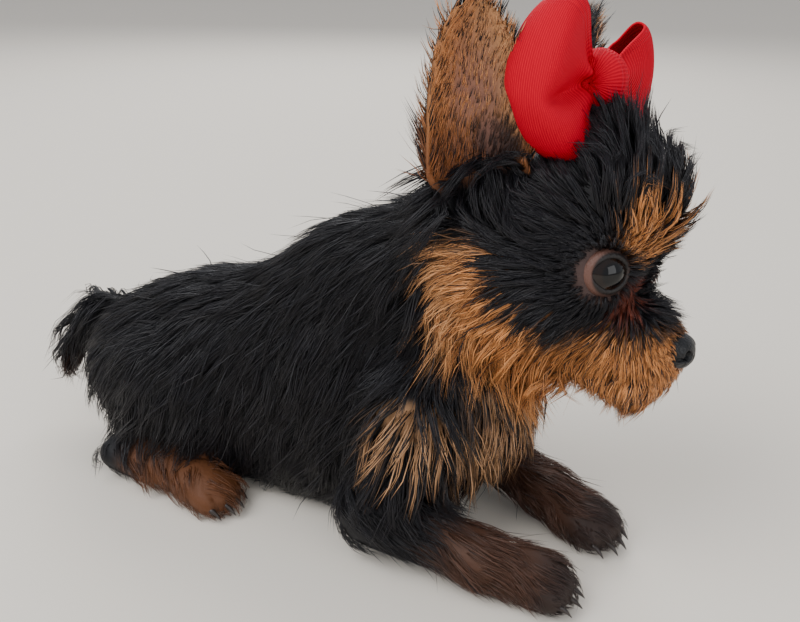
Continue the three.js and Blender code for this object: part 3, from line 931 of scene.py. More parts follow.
@dataclass
class Skin:
    """One seamless skin over trunk, neck, head, ears, legs and tail."""

    anatomy: Anatomy
    markings: Markings
    voxel: float = 1.25
    ball_inset: float = 2.4
    ball_least: float = 0.62
    settling: int = 3
    most_step: float = 2.5
    mouth_depth: float = 1.5
    mouth_width: float = 0.9
    floor_gap: float = 0.4
    ear_margin: float = 2.0
    lid_turns: Triple = (50, 58, 66)
    lid_sinks: Triple = (-1.4, -0.3, 1.5)

    def build(self) -> bpy.types.Object:
        """Return the skin, with its markings and its unwrap."""
        obj = self.remeshed()
        self.settle(obj)
        self.unwrap(obj)
        self.dress(obj)
        return obj

    def remeshed(self) -> bpy.types.Object:
        """Return balls along every form and both ears, fused into one surface."""
        ball, base = round_primitive("ball", 24, 14)
        base_faces = [tuple(face.vertices) for face in ball.data.polygons]
        bpy.data.objects.remove(ball, do_unlink=True)
        points = []
        faces = []
        total = 0
        for at, radii, on_head in self.anatomy.all_balls():
            shape = base * np.maximum(radii - self.ball_inset, radii * self.ball_least) + at
            points.append(self.anatomy.from_head(shape) if on_head else shape)
            faces += [tuple(i + total for i in face) for face in base_faces]
            total += len(base)
        for side in Side:
            shell, shell_faces = EarLeaf(side.value).shell()
            points.append(self.anatomy.from_head(shell))
            faces += [tuple(i + total for i in face) for face in shell_faces]
            total += len(shell)
        obj = facing_out(object_of("skin", np.concatenate(points), faces))
        applied(obj, "REMESH", mode="VOXEL", voxel_size=self.voxel * MM)
        applied(obj, "SMOOTH", factor=0.5, iterations=2)
        return applied(obj, "TRIANGULATE")

    def settle(self, obj: bpy.types.Object) -> None:
        """Move the skin onto the flesh, fold the mouth and level the parts that rest on the floor.

        Args:
            obj: the skin.
        """
        p = mesh_points(obj)
        ear = self.on_ear(p)[0]
        for _ in range(self.settling):
            gap = self.anatomy.field(p) + self.anatomy.depth(p)
            p -= self.anatomy.normal(p) * (np.clip(gap, -self.most_step, self.most_step) * (1 - ear))[:, None]
        q = self.anatomy.to_head(p)
        mouth_z = MOUTH_LEVEL + 0.02 * q[:, 1] ** 2
        crease = np.exp(-((q[:, 2] - mouth_z) / self.mouth_width) ** 2) * step01(q[:, 0], 18, 24)
        p -= self.anatomy.normal(p) * (self.mouth_depth * crease * (1 - ear))[:, None]
        p = self.opened_at_eyes(p)
        p[:, 2] = np.maximum(p[:, 2], self.floor_gap)
        set_points(obj, p)

    def opened_at_eyes(self, p: Array) -> Array:
        """Return the skin's points sunk behind each eyeball where its lids open.

        Args:
            p: points in the puppy's frame.

        Returns:
            The moved points.
        """
        q = self.anatomy.to_head(p)
        for side in Side:
            centre = vec(*mirrored(EYE_AT, side.value))
            d = q - centre
            far = np.linalg.norm(d, axis=1)
            turn = np.degrees(np.arccos(np.clip(unit(d) @ unit(vec(*mirrored(EYE_LOOK, side.value))), -1, 1)))
            most = EYE_RADIUS + np.interp(turn, self.lid_turns, self.lid_sinks)
            sunk = (turn < self.lid_turns[-1]) & (far < EYE_RADIUS + 5) & (far > most)
            q = np.where(sunk[:, None], centre + unit(d) * most[:, None], q)
        return self.anatomy.from_head(q)

    def on_ear(self, p: Array) -> tuple[Array, Array, Array]:
        """Return how far points belong to an ear, to its inner face, and where they lie across it.

        Args:
            p: points in the puppy's frame.

        Returns:
            Three values for each point: ear, inner face, and place across from -1 to 1.
        """
        q = self.anatomy.to_head(p)
        side = np.where(q[:, 1] > 0, 1.0, -1.0)
        belongs = np.zeros(len(p))
        inner = np.zeros(len(p))
        rim = np.zeros(len(p))
        for one in Side:
            root, axis, face, across = EarLeaf(one.value).frame()
            d = q - root
            rise = d @ axis / EAR_LENGTH
            along = d @ across
            leaf = EAR_WIDTH / 2 * np.clip(1 - np.clip(rise, 0, 1) ** EAR_TAPER, 0.06, 1) ** 0.55
            half = leaf + self.ear_margin
            close = step01(rise, 0.1, 0.2) * (rise < 1.08) * (np.abs(along) < half) * (side == one.value)
            outside = step01(self.anatomy.field(p), 0.0, 2.5)
            belongs = np.maximum(belongs, close * outside)
            cup = ROOT_CUP + (TIP_CUP - ROOT_CUP) * np.clip(rise, 0, 1) ** 0.6
            radius = (half - self.ear_margin) / np.sin(cup)
            curl = np.clip(along / radius, -0.99, 0.99)
            sheet = radius * 0.6 - radius * np.sqrt(1 - curl**2)
            inner = np.where(side == one.value, (d @ face > sheet).astype(float), inner)
            rim = np.where(side == one.value, -one.value * along / (half - self.ear_margin), rim)
        return belongs, inner, rim

    def unwrap(self, obj: bpy.types.Object) -> None:
        """Unwrap the skin by its own shape under the name OFBake.

        Args:
            obj: the skin.
        """
        only(obj)
        obj.data.uv_layers.new(name="OFBake")
        bpy.ops.object.mode_set(mode="EDIT")
        bpy.ops.mesh.select_all(action="SELECT")
        bpy.ops.uv.smart_project(angle_limit=math.radians(66), island_margin=0.004)
        bpy.ops.object.mode_set(mode="OBJECT")

    def dress(self, obj: bpy.types.Object) -> None:
        """Paint the markings and give the skin its finish.

        Args:
            obj: the skin.
        """
        p = mesh_points(obj)
        ear, inner, rim = self.on_ear(p)
        q = self.anatomy.to_head(p)
        shade = self.markings.colour(p, ear, inner, rim) * 0.8
        rise = ear_rise(q)
        bare = ear * inner * np.exp(-((rise - 0.55) / 0.3) ** 2) * step01(0.75 - np.abs(rim), 0, 0.5)
        shade = mix(shade, Tone.BARE_SKIN, bare * 0.85)
        shade = mix(shade, Tone.LID, step01(LID_REACH - away(q, EYE_AT), -1, 1.5) * 0.8)
        paint(obj, "Markings", shade)
        smoothed(obj)
        dressed(obj, FINISHES["skin"].build(), FLESH)


# Coat


class Region(Enum):
    """Parts of the coat, each a piece of its own."""

    FACE = (19500, 2, 11, 7)
    CROWN = (12300, 3, 12, 16)
    CHEEKS = (12300, 3, 13, 15)
    NECK = (10800, 3, 14, 18)
    FLANK_LEFT = (11600, 3, 15, 22)
    FLANK_RIGHT = (11600, 3, 16, 22)
    FORELEGS = (8400, 3, 17, 12)
    HINDLEGS = (3600, 3, 18, 12)
    TAIL = (1500, 3, 19, 10)
    EARS = (11500, 2, 20, 2)

    def __init__(self, tufts: int, stretches: int, seed: int, lock: int) -> None:
        """Name the numbers of the region.

        Args:
            tufts: how many tufts it has.
            stretches: straight stretches along each tuft.
            seed: start of its random draws, and its mark on the faces of the skin.
            lock: how many tufts gather in a lock.
        """
        self.tufts = tufts
        self.stretches = stretches
        self.seed = seed
        self.lock = lock


@dataclass
class Lie:
    """Length, direction and stand of the hair everywhere on the puppy."""

    anatomy: Anatomy

    def direction(self, p: Array, normal: Array, ear: Array, rim: Array) -> Array:
        """Return the way that the hair lies.

        Args:
            p: roots in the puppy's frame.
            normal: way out of the skin there.
            ear: 1 on the ears, else 0.
            rim: place across the ear, -1 at the rear edge to 1 at the front edge.

        Returns:
            Unit vectors along the skin.
        """
        x, y, z = p.T
        side = np.sign(y)
        low = np.minimum(1, np.abs(y) / 26)
        front = step01(x, 52, 74)
        rump = step01(-x, 52, 78)
        back = (-1 + 0.55 * np.maximum(low, rump)) * (1 - 0.8 * front)
        body = rows(back, side * 0.3 * (1 - low), -0.2 - low - rump - front)
        leg = step01(3 - self.anatomy.leg_field(p), 0, 4) * (z < 26)
        foreleg = leg * (x > 30)
        body = mix(body, vec(1.0, 0.0, -0.55), foreleg)
        body = mix(body, vec(0.5, 0.0, -0.8), leg * (x <= 30) * (z < 15))
        head = self.head_direction(self.anatomy.to_head(p)) @ self.anatomy.head_axes.T
        on_head = self.anatomy.on_head(p, -9)
        way = mix(unit(body), unit(head), on_head)
        up = rows(0.55 * rim, 0.3 * side * rim, 1.0) @ self.anatomy.head_axes.T
        way = mix(way, up, ear)
        way -= normal * np.sum(way * normal, axis=1, keepdims=True)
        return unit(way)

    def head_direction(self, q: Array) -> Array:
        """Return the lie of the head's hair at points q of its own frame.

        Args:
            q: points in the head's frame.

        Returns:
            One direction for each point.
        """
        x, y, z = q.T
        side = np.sign(y)
        behind = step01(-x, 4, 16)
        rise = np.interp(z, [-28, -12, 0, 8, 15, 24], [-82, -44, -9, 8, 22, 42]) * (1 - behind) - 28 * behind
        rise = np.radians(rise)
        flow = rows(-np.cos(rise), side * 0.16, np.sin(rise))
        forelock = step01(x, 14, 26) * step01(z, 10, 20)
        flow = mix(flow, rows(0.25, side * 0.2, 1.0), forelock)
        brow = unit(q - rows(24.0, side * 8.5, 2.0)) + vec(0.15, 0, 0.15)
        whorl = unit((q - rows(29.0, side * 5.5, -5.0)) * vec(0.8, 1, 1)) + vec(0, 0, -0.3)
        face = mix(unit(whorl), unit(brow), step01(z, -4, 2))
        way = mix(flow, face, step01(x, 17, 25) * (1 - forelock))
        root = step01(17 - away(q, EAR_ROOT), 0, 7) * step01(z, 2, 9)
        way = mix(way, rows(0.1, side * 0.5, 1.0), root * 0.75)
        eye = q - vec(*EYE_AT) * rows(1.0, side, 1.0)
        close = step01(11.5 - np.linalg.norm(eye, axis=1), 0, 3)
        return mix(way, unit(eye) + 0.5 * vec(-0.8, 0, -0.2), close * 0.8)

    def length(self, p: Array, ear: Array, inner: Array, rim: Array) -> Array:
        """Return the length of the hair in millimetres.

        Args:
            p: roots in the puppy's frame.
            ear: 1 on the ears, else 0.
            inner: 1 on the inner face of an ear, else 0.
            rim: place across the ear, -1 at the rear edge to 1 at the front edge.

        Returns:
            One length for each root.
        """
        q = self.anatomy.to_head(p)
        x, _, z = p.T
        long = np.interp(x, [-90, -60, 0, 50, 75], [20, 21, 21, 22, 19])
        long = np.where(z < 14, np.interp(z, [0, 14], [7, 16]), long)
        leg = step01(3 - self.anatomy.leg_field(p), 0, 4) * (z < 30)
        shaggy = np.interp(z, [0, 7, 15, 30], [4.5, 9.0, 14, 19])
        shaggy = shaggy * np.interp(x, [84, 96, 104], [1, 0.75, 0.5])
        long = long + (shaggy - long) * leg
        on_head = self.anatomy.on_head(p)
        long = long + (self.head_length(q) - long) * on_head
        rise = ear_rise(q)
        inside = 6.0 - 2.2 * step01(rise, 0.15, 0.5)
        ears = np.where(inner > 0.5, inside, 6.5) + 3.5 * step01(-rim, 0.72, 0.95)
        ears = ears + 2 * step01(rim, 0.8, 0.97)
        return long + (ears - long) * ear

    def head_length(self, q: Array) -> Array:
        """Return the length of the head's hair at points q of its own frame.

        Args:
            q: points in the head's frame.

        Returns:
            One length for each point.
        """
        x, y, z = q.T
        head = np.interp(x, [-26, -10, 6, 14, 22, 30, 36, 42], [21, 20, 16, 13, 10.5, 9.5, 6, 3.5])
        bridge = step01(z, -13, -8) * step01(x, 23, 27) * step01(8 - np.abs(y), 0, 3)
        head = head + (np.interp(x, [26, 34, 38], [8.5, 7, 4.5]) - head) * bridge
        crown = step01(z, 6, 14)
        head = head + (np.interp(x, [-26, 0, 10, 20, 32], [20, 18, 17, 16, 12]) - head) * crown
        gathered = step01(z, 20, 27) * step01(20 - x, 0, 5)
        head = head + (6.5 - head) * gathered
        jaw = step01(-z, 14, 22) * step01(16 - x, 0, 8)
        head = head + (27 - head) * jaw
        beard = step01(-z, 22, 28) * step01(x, 12, 18)
        head = head + (11.5 - head) * beard
        head = head * (0.26 + 0.74 * step01(away(q, EYE_AT), 7, 14))
        return head * (0.45 + 0.55 * step01(apart(q, NOSE_AT), 6.5, 12))

    def stand(self, p: Array, ear: Array) -> Array:
        """Return how steeply the hair leaves the skin, 0 flat to 1 upright.

        Args:
            p: points in the puppy's frame.
            ear: 1 on the ears, else 0.

        Returns:
            One value for each point.
        """
        q = self.anatomy.to_head(p)
        x, y, z = q.T
        on_head = self.anatomy.on_head(p)
        forelock = step01(x, 14, 24) * step01(z, 8, 16)
        bridge = step01(x, 22, 27) * step01(z, -13, -8) * step01(8 - np.abs(y), 0, 3)
        muzzle = step01(x, 20, 28) * step01(-z, 8, 14)
        jaw = step01(-z, 8, 18) * step01(16 - x, 0, 8)
        head = 0.28 + 0.6 * forelock + 0.75 * bridge * (1 - forelock) + 0.38 * muzzle + 0.5 * jaw
        chest = step01(p[:, 0], 50, 64) * step01(p[:, 2], 20, 34)
        rump = step01(-p[:, 0], 66, 80)
        body = 0.11 + 0.5 * chest + 0.25 * rump
        return (body + (head - body) * on_head) * (1 - ear) + 0.22 * ear


@dataclass
class Roots:
    """Where tufts grow: places, ways out of the skin, places in the unwrap, and faces of the skin."""

    places: Array
    normals: Array
    maps: Array
    faces: Array


@dataclass
class Coat:
    """The coat: thin tapered tufts in locks, as solid mesh rooted on the skin."""

    anatomy: Anatomy
    markings: Markings
    lie: Lie
    skin_maker: Skin
    skin: bpy.types.Object
    patch: float = 0.0015
    fewest_locks: int = 40
    stray_share: float = 0.04
    root_depth: float = 0.5

    def build(self) -> list[bpy.types.Object]:
        """Return the pieces of the coat, one for each region."""
        self.read_skin()
        material = FINISHES["hair"].build()
        pieces = [self.region_piece(region) for region in Region]
        for region, obj in zip(Region, pieces):
            dressed(obj, material)
        return pieces

    def read_skin(self) -> None:
        """Read the skin's triangles, their places in the unwrap, and what each belongs to."""
        mesh = self.skin.data
        count = len(mesh.polygons)
        corners = np.empty(count * 3, dtype=np.int32)
        mesh.loops.foreach_get("vertex_index", corners)
        uv = np.empty(count * 6, dtype=np.float32)
        mesh.uv_layers["OFBake"].data.foreach_get("uv", uv)
        self.corner_uv = uv.reshape(count, 3, 2).astype(float)
        self.corners = mesh_points(self.skin)[corners.reshape(count, 3)]
        middle = self.corners.mean(axis=1)
        cross = np.cross(self.corners[:, 1] - self.corners[:, 0], self.corners[:, 2] - self.corners[:, 0])
        self.area = np.linalg.norm(cross, axis=1) / 2
        self.face_normal = unit(cross)
        self.ear, self.inner, self.rim = self.skin_maker.on_ear(middle)
        self.region = self.regions(middle)
        self.density = self.densities(middle)

    def regions(self, p: Array) -> Array:
        """Return the mark of the region that each point belongs to.

        Args:
            p: middles of the skin's faces.

        Returns:
            The seed of each point's region.
        """
        q = self.anatomy.to_head(p)
        head = self.anatomy.head_field(p)
        body = self.anatomy.body_field(p)
        legs = self.anatomy.leg_field(p)
        tail = self.anatomy.tail_field(p)
        on_head = (head < body - 0.5) & (head < legs)
        found = np.where(p[:, 1] > 0, Region.FLANK_LEFT.seed, Region.FLANK_RIGHT.seed)
        for region, belongs in (
            (Region.NECK, (p[:, 0] - 46) * 0.55 + (p[:, 2] - 76) * 0.3 > 0),
            (Region.FORELEGS, (legs < body) & (p[:, 0] > 20)),
            (Region.HINDLEGS, (legs < body) & (p[:, 0] <= 20)),
            (Region.TAIL, (tail < body) & (tail < legs)),
            (Region.CHEEKS, on_head),
            (Region.CROWN, on_head & (q[:, 2] > 5) & (q[:, 0] < 40)),
            (Region.FACE, on_head & (q[:, 0] > 13) & (q[:, 2] <= 9)),
            (Region.EARS, self.ear > 0.5),
        ):
            found = np.where(belongs, region.seed, found)
        return found

    def densities(self, p: Array) -> Array:
        """Return how thickly hair grows at each point, 0 where there is none.

        Args:
            p: middles of the skin's faces.

        Returns:
            One density for each point.
        """
        q = self.anatomy.to_head(p)
        grow = np.ones(len(p))
        grow[p[:, 2] < 1.0] = 0.0
        from_eye = folded(q) - vec(*EYE_AT)
        open_way = unit(vec(*EYE_LOOK) + vec(-0.16, 0.1, 0))
        grow *= 1 - (away(q, EYE_AT) < LID_REACH) * (unit(from_eye) @ open_way > 0.56)
        grow *= apart(q, NOSE_AT, tuple(r + 0.3 for r in NOSE_RADII)) > 1.0
        bare = np.exp(-((ear_rise(q) - 0.5) / 0.22) ** 2) * step01(0.7 - np.abs(self.rim), 0, 0.5)
        grow *= 1 - 0.6 * bare * self.inner * self.ear
        grow *= 1 + 1.5 * self.ear * step01(np.abs(self.rim), 0.75, 0.95)
        grow *= 1 - 0.45 * self.ear * (1 - self.inner)
        grow *= 1 + 1.4 * step01(14 - away(q, CROWN_SIDE), 0, 8)
        return grow

    def roots(self, region: Region, rng: np.random.Generator) -> Roots:
        """Return seeded roots of one region.

        Args:
            region: part of the coat.
            rng: its random draws.

        Returns:
            The roots.
        """
        weight = self.area * self.density * (self.region == region.seed)
        picked = rng.choice(len(weight), size=region.tufts, p=weight / weight.sum())
        a = np.sqrt(rng.random(region.tufts))
        b = rng.random(region.tufts)
        share = np.stack([1 - a, a * (1 - b), a * b], axis=1)
        places = np.einsum("ij,ijk->ik", share, self.corners[picked])
        maps = np.einsum("ij,ijk->ik", share, self.corner_uv[picked])
        return Roots(places, self.face_normal[picked], maps, picked)

    def guides(self, region: Region, rng: np.random.Generator, roots: Roots) -> tuple[Array, Array]:
        """Return the path of each lock that tufts gather in.

        Args:
            region: part of the coat.
            rng: its random draws.
            roots: where its tufts grow.

        Returns:
            Paths of the locks, and the lock that each tuft belongs to.
        """
        count = max(self.fewest_locks, int(region.tufts / region.lock))
        chosen = rng.choice(region.tufts, size=count, replace=False)
        starts = roots.places[chosen]
        p = starts.copy()
        face = roots.faces[chosen]
        ear = (self.ear[face] > 0.5).astype(float)
        rim = self.rim[face]
        length = self.lie.length(p, ear, self.inner[face], rim) * rng.uniform(0.82, 1.2, count)
        stand = self.lie.stand(p, ear) * rng.uniform(0.6, 1.4, count)
        normal = self.face_normal[face]
        phase = 0.35 * p[:, 0] + 0.28 * p[:, 2] + rng.uniform(-0.7, 0.7, count)
        path = [p.copy()]
        for i in range(region.stretches):
            s = (i + 1) / region.stretches
            way = self.lie.direction(p, normal, ear, rim)
            across = np.cross(way, normal)
            sway = 0.3 * np.cos(phase + 2.9 * s) * (1 - 0.6 * ear) + rng.normal(0, 0.1, count)
            rise = stand * (1 - 0.55 * s)
            move = unit(way + across * sway[:, None] + normal * rise[:, None])
            p = self.kept_outside(p + move * (length / region.stretches)[:, None], ear, 0.35 + 1.3 * s)
            path.append(p.copy())
            normal = unit(mix(self.anatomy.normal(p), normal, ear))
        tree = KDTree(count)
        for i, start in enumerate(starts):
            tree.insert(start, i)
        tree.balance()
        return np.stack(path, axis=1), np.array([tree.find(root)[1] for root in roots.places])

    def kept_outside(self, p: Array, ear: Array, least: float) -> Array:
        """Return points pushed out until they clear the skin and the floor.

        Args:
            p: points in the puppy's frame.
            ear: 1 on the ears, which keep their points, else 0.
            least: height over the skin that they need.

        Returns:
            The moved points.
        """
        gap = self.anatomy.field(p) + self.anatomy.depth(p) - least
        p = p + self.anatomy.normal(p) * (np.clip(-gap, 0, 4) * (1 - ear))[:, None]
        p[:, 2] = np.maximum(p[:, 2], 0.5)
        return p

    def region_piece(self, region: Region) -> bpy.types.Object:
        """Return the tufts of one region as one mesh.

        Args:
            region: part of the coat.

        Returns:
            The finished object.
        """
        rng = np.random.default_rng(region.seed)
        roots = self.roots(region, rng)
        paths, owner = self.guides(region, rng, roots)
        guide = paths[owner]
        offset = roots.places - guide[:, 0]
        count = region.tufts
        reach = rng.uniform(0.72, 1.12, count)
        gather = rng.uniform(0.35, 0.8, count)
        stray = rng.random(count) < self.stray_share
        drift = rng.normal(0, 1, (count, 3))
        far = np.linalg.norm(guide[:, -1] - guide[:, 0], axis=1)
        order = np.arange(count)
        places = []
        for i in range(region.stretches + 1):
            s = i / region.stretches
            at = s * reach * region.stretches
            low = np.clip(np.floor(at).astype(int), 0, region.stretches - 1)
            along = mix(guide[order, low], guide[order, low + 1], at - low)
            close = 1 - gather * s**1.2
            spread = (0.35 + 1.5 * stray) * s * far * 0.09
            places.append(along + offset * close[:, None] + drift * spread[:, None])
        path = np.stack(places, axis=1)
        path[:, 0] -= roots.normals * self.root_depth
        path[:, :, 2] = np.maximum(path[:, :, 2], 0.3)
        return self.tufts_object(region, path, roots, rng)

    def tufts_object(self, region: Region, path: Array, roots: Roots,
                     rng: np.random.Generator) -> bpy.types.Object:
        """Return flat three-sided tufts along the given paths.

        Args:
            region: part of the coat.
            path: stations of each tuft.
            roots: where the tufts grow.
            rng: the region's random draws.

        Returns:
            The finished object, painted and mapped.
        """
        count, stations, _ = path.shape
        length = np.linalg.norm(path[:, -1] - path[:, 0], axis=1)
        width = np.clip(0.13 + 0.013 * length, 0.15, 0.4) * rng.uniform(0.7, 1.3, count)
        tangent = unit(path[:, -1] - path[:, 0])
        across = unit(np.cross(tangent, roots.normals))
        spin = rng.normal(0, 0.5, count)
        across = unit(across * np.cos(spin)[:, None] + np.cross(tangent, across) * np.sin(spin)[:, None])
        out = np.cross(across, tangent)
        rings = []
        for i in range(stations - 1):
            half = (width * (1 - 0.55 * (i / (stations - 1)) ** 1.5) / 2)[:, None]
            rings += [path[:, i] + across * half, path[:, i] + out * half * 0.7, path[:, i] - across * half]
        points = np.stack(rings + [path[:, -1]], axis=1)
        per = points.shape[1]
        faces = [(0, 1, 2)]
        for a in range(per - 4):
            b = a + 1 if a % 3 < 2 else a - 2
            faces += [(a, a + 3, b + 3), (a, b + 3, b)]
        last = per - 4
        faces += [(last + k, per - 1, last + (k + 1) % 3) for k in range(3)]
        tris = (np.array(faces)[None] + (np.arange(count) * per)[:, None, None]).reshape(-1, 3)
        obj = triangles_object("coat_" + region.name.lower(), points.reshape(-1, 3), tris)
        self.paint_tufts(obj, path, roots.faces, rng)
        self.map_tufts(obj, roots.maps, tris, per)
        return obj

    def paint_tufts(self, obj: bpy.types.Object, path: Array, faces: Array, rng: np.random.Generator) -> None:
        """Paint each tuft from its root to its tip with the markings, and a painted bluish sheen on the tips
        of the black hairs.

        Args:
            obj: the tufts.
            path: stations of each tuft.
            faces: face of the skin under each tuft.
            rng: the region's random draws.
        """
        count, stations, _ = path.shape
        ear = (self.ear[faces] > 0.5).astype(float)
        root = path[:, 0] + rng.normal(0, 0.8, (count, 3)) * (1 - ear)[:, None]
        base = self.markings.colour(root, ear, self.inner[faces], self.rim[faces])
        tan = step01(base.sum(axis=1) / Tone.TAN.sum(), 0.12, 0.4)
        chest = step01(root[:, 0], 40, 50) * (self.anatomy.head_field(root) > 4)
        face = step01(self.anatomy.to_head(root)[:, 0], 12, 24) * (1 - chest)
        dark_hair = rng.random(count) < (0.12 + 0.25 * chest + 0.14 * face) * tan
        base = np.where(dark_hair[:, None], Tone.BLACK * 1.6, base)
        base *= rng.uniform(0.72, 1.28, count)[:, None]
        warm = rng.random(count)[:, None] * (1 - tan)[:, None]
        base += warm * Tone.WARM_BLACK * 0.35
        # Tan hairs grow paler to the tip; black hairs take a painted bluish sheen at the tip.
        tip = base * (1 + 0.35 * tan)[:, None] + (Tone.BLACK_SHEEN * 0.25) * (1 - tan)[:, None]
        shades = []
        for i in range(stations):
            s = i / (stations - 1)
            ring = base * (0.62 + 0.38 * min(1, 2 * s)) + (tip - base) * s
            shades += [ring] * (3 if i < stations - 1 else 1)
        paint(obj, "Markings", np.stack(shades, axis=1).reshape(-1, 3))

    def map_tufts(self, obj: bpy.types.Object, maps: Array, tris: Array, per: int) -> None:
        """Lay each tuft as a small patch at its root's place on the skin's unwrap.

        Args:
            obj: the tufts.
            maps: places of the roots in the unwrap.
            tris: triangles of all tufts.
            per: points in each tuft.
        """
        layer = obj.data.uv_layers.new(name="OFBake")
        tuft, local = np.divmod(tris.reshape(-1), per)
        across = np.where(local == per - 1, 0.0, (local % 3) - 1.0)
        along = 2.0 * (local // 3) / (per // 3) - 1.0
        uv = maps[tuft] + np.stack([across, along], axis=1) * self.patch
        layer.data.foreach_set("uv", np.clip(uv, 0, 1).astype(np.float32).ravel())


# Eyes


@dataclass
class Eye:
    """One eye: a dark ball with a bulging clear front, and the lids round it."""

    anatomy: Anatomy
    side: Side
    pupil: float = 0.46
    iris_edge: float = 0.74
    rim_edge: float = 0.76
    corner: float = 0.14
    fold: float = 0.25

    def frame(self) -> Array:
        """Return rows: across, up and the way the eye looks, in the head's frame."""
        look = unit(vec(*mirrored(EYE_LOOK, self.side.value)))
        across = unit(np.cross(vec(0, 0, 1), look))
        return np.stack([across, np.cross(look, across), look])

    def place(self, local: Array) -> Array:
        """Return local points, with Z along the look, in the puppy's frame."""
        at = vec(*mirrored(EYE_AT, self.side.value))
        return self.anatomy.from_head(local @ self.frame() + at)

    def build(self) -> list[bpy.types.Object]:
        """Return the ball and the lids."""
        return [self.ball(), self.lids()]

    def ball(self) -> bpy.types.Object:
        """Return the eyeball with its iris painted by the angle from the look."""
        obj, local = round_primitive("eyeball_" + self.side.name.lower(), 64, 48)
        turn = np.arccos(np.clip(local[:, 2], -1, 1))
        bulge = 1 + 0.045 * step01(0.7 - turn, 0, 0.5)
        set_points(obj, self.place(local * EYE_RADIUS * bulge[:, None]))
        grain = 0.5 + 0.5 * np.sin(29 * np.arctan2(local[:, 1], local[:, 0])) * np.sin(47 * turn)
        shade = mix(Tone.IRIS_DARK, Tone.IRIS_LIGHT, grain)
        shade = mix(shade, Tone.EYE_EDGE, step01(turn, self.iris_edge, self.iris_edge + 0.06))
        paint(obj, "Iris", mix(shade, Tone.PUPIL, step01(self.pupil - turn, -0.04, 0.04)))
        smoothed(obj)
        name = "eye_finish_" + self.side.name.lower()
        finish = Finish(name, attribute="Iris", roughness=0.06, specular=0.36)
        dressed(obj, finish.build(), ("eye_" + self.side.name.lower(),))
        return obj

    def lids(self) -> bpy.types.Object:
        """Return the rim of bare lid skin round the opening, with a fold above and behind it."""
        around = 96
        profile = [(0.0, -0.4), (0.0, 0.06), (0.02, 0.26), (0.07, 0.38), (0.14, 0.3), (0.21, 0.4)]
        profile += [(0.32, 0.36), (0.46, 0.1), (0.62, -0.5), (0.8, -1.4)]
        wide, high = EYE_OPENING
        points = []
        for extra, height in profile:
            fold = self.fold * math.sin(math.pi * min(1.0, extra / 0.5))
            for k in range(around):
                a = 2 * math.pi * k / around
                corner = 1 + self.corner * abs(math.cos(a)) ** 8
                rho = corner / math.hypot(math.cos(a) / wide, math.sin(a) / high)
                turn = math.asin(min(0.98, rho / EYE_RADIUS)) + extra
                r = EYE_RADIUS + height + fold * (0.5 + 0.5 * math.sin(a))
                flat = r * math.sin(turn)
                points.append((flat * math.cos(a), flat * math.sin(a), r * math.cos(turn)))
        faces = net(len(profile), around, around=True)
        obj = object_of("lids_" + self.side.name.lower(), self.place(np.array(points)), faces)
        applied(obj, "SOLIDIFY", thickness=0.3 * MM, offset=-1)
        facing_out(obj)
        applied(obj, "SUBSURF", levels=1, render_levels=1)
        self.paint_lids(obj)
        bpy.ops.object.shade_smooth()
        dressed(obj, FINISHES["lid"].build())
        return obj

    def paint_lids(self, obj: bpy.types.Object) -> None:
        """Paint the lids dark at their rim and towards the nose, and pinkish brown behind.

        Args:
            obj: the lids.
        """
        q = self.anatomy.to_head(mesh_points(obj)) - vec(*mirrored(EYE_AT, self.side.value))
        turn = np.arccos(np.clip(unit(q @ self.frame().T)[:, 2], -1, 1))
        behind = step01(-(unit(q)[:, 0] - 0.55), -0.2, 0.5)
        bare = 0.55 * mix(Tone.LID, Tone.BARE_SKIN, behind)
        paint(obj, "Markings", mix(Tone.LID_RIM, bare, step01(turn, self.rim_edge, self.rim_edge + 0.12)))


# Nose


@dataclass
class Nose:
    """The nose leather with its nostrils and the groove between them."""

    anatomy: Anatomy

    def build(self) -> bpy.types.Object:
        """Return the nose."""
        obj, ball = round_primitive("nose_leather", 128, 80)
        ahead = ball[:, 0] > 0
        local = np.sign(ball) * np.abs(ball) ** vec(0.86, 0.9, 0.92) * vec(*NOSE_RADII)
        local[:, 2] -= 0.5 * step01(local[:, 0], 1, 5) * (np.abs(local[:, 1]) < 3)
        for side in (1, -1):
            hole = apart(local, mirrored(NOSTRIL_AT, side), NOSTRIL_RADII)
            slit = apart(local, mirrored(SLIT_AT, side), SLIT_RADII)
            push = np.maximum(step01(1.15 - hole, 0, 0.45) * 2.6, step01(1.1 - slit, 0, 0.5) * 1.3)
            local -= vec(1, 0.15 * side, 0) * (push * ahead)[:, None]
        groove = np.exp(-((local[:, 1] / 0.42) ** 2)) * step01(-local[:, 2], -0.8, 1.0) * ahead
        local[:, 0] -= 0.55 * groove
        set_points(obj, self.anatomy.from_head(local + vec(*NOSE_AT)))
        smoothed(obj)
        dressed(obj, self.finish(), ("nose",))
        return obj

    def finish(self) -> bpy.types.Material:
        """Return moist pebbled leather."""
        material = FINISHES["nose"].build()
        tree = material.node_tree
        place = node(tree, "TexCoord")
        cells = node(tree, "TexVoronoi", Scale=1900.0, Vector=place.outputs["Object"])
        bump = node(tree, "Bump", Strength=0.55, Distance=0.0003, Height=cells.outputs["Distance"])
        tree.links.new(bump.outputs["Normal"], tree.nodes["Principled BSDF"].inputs["Normal"])
        return material


# Claws


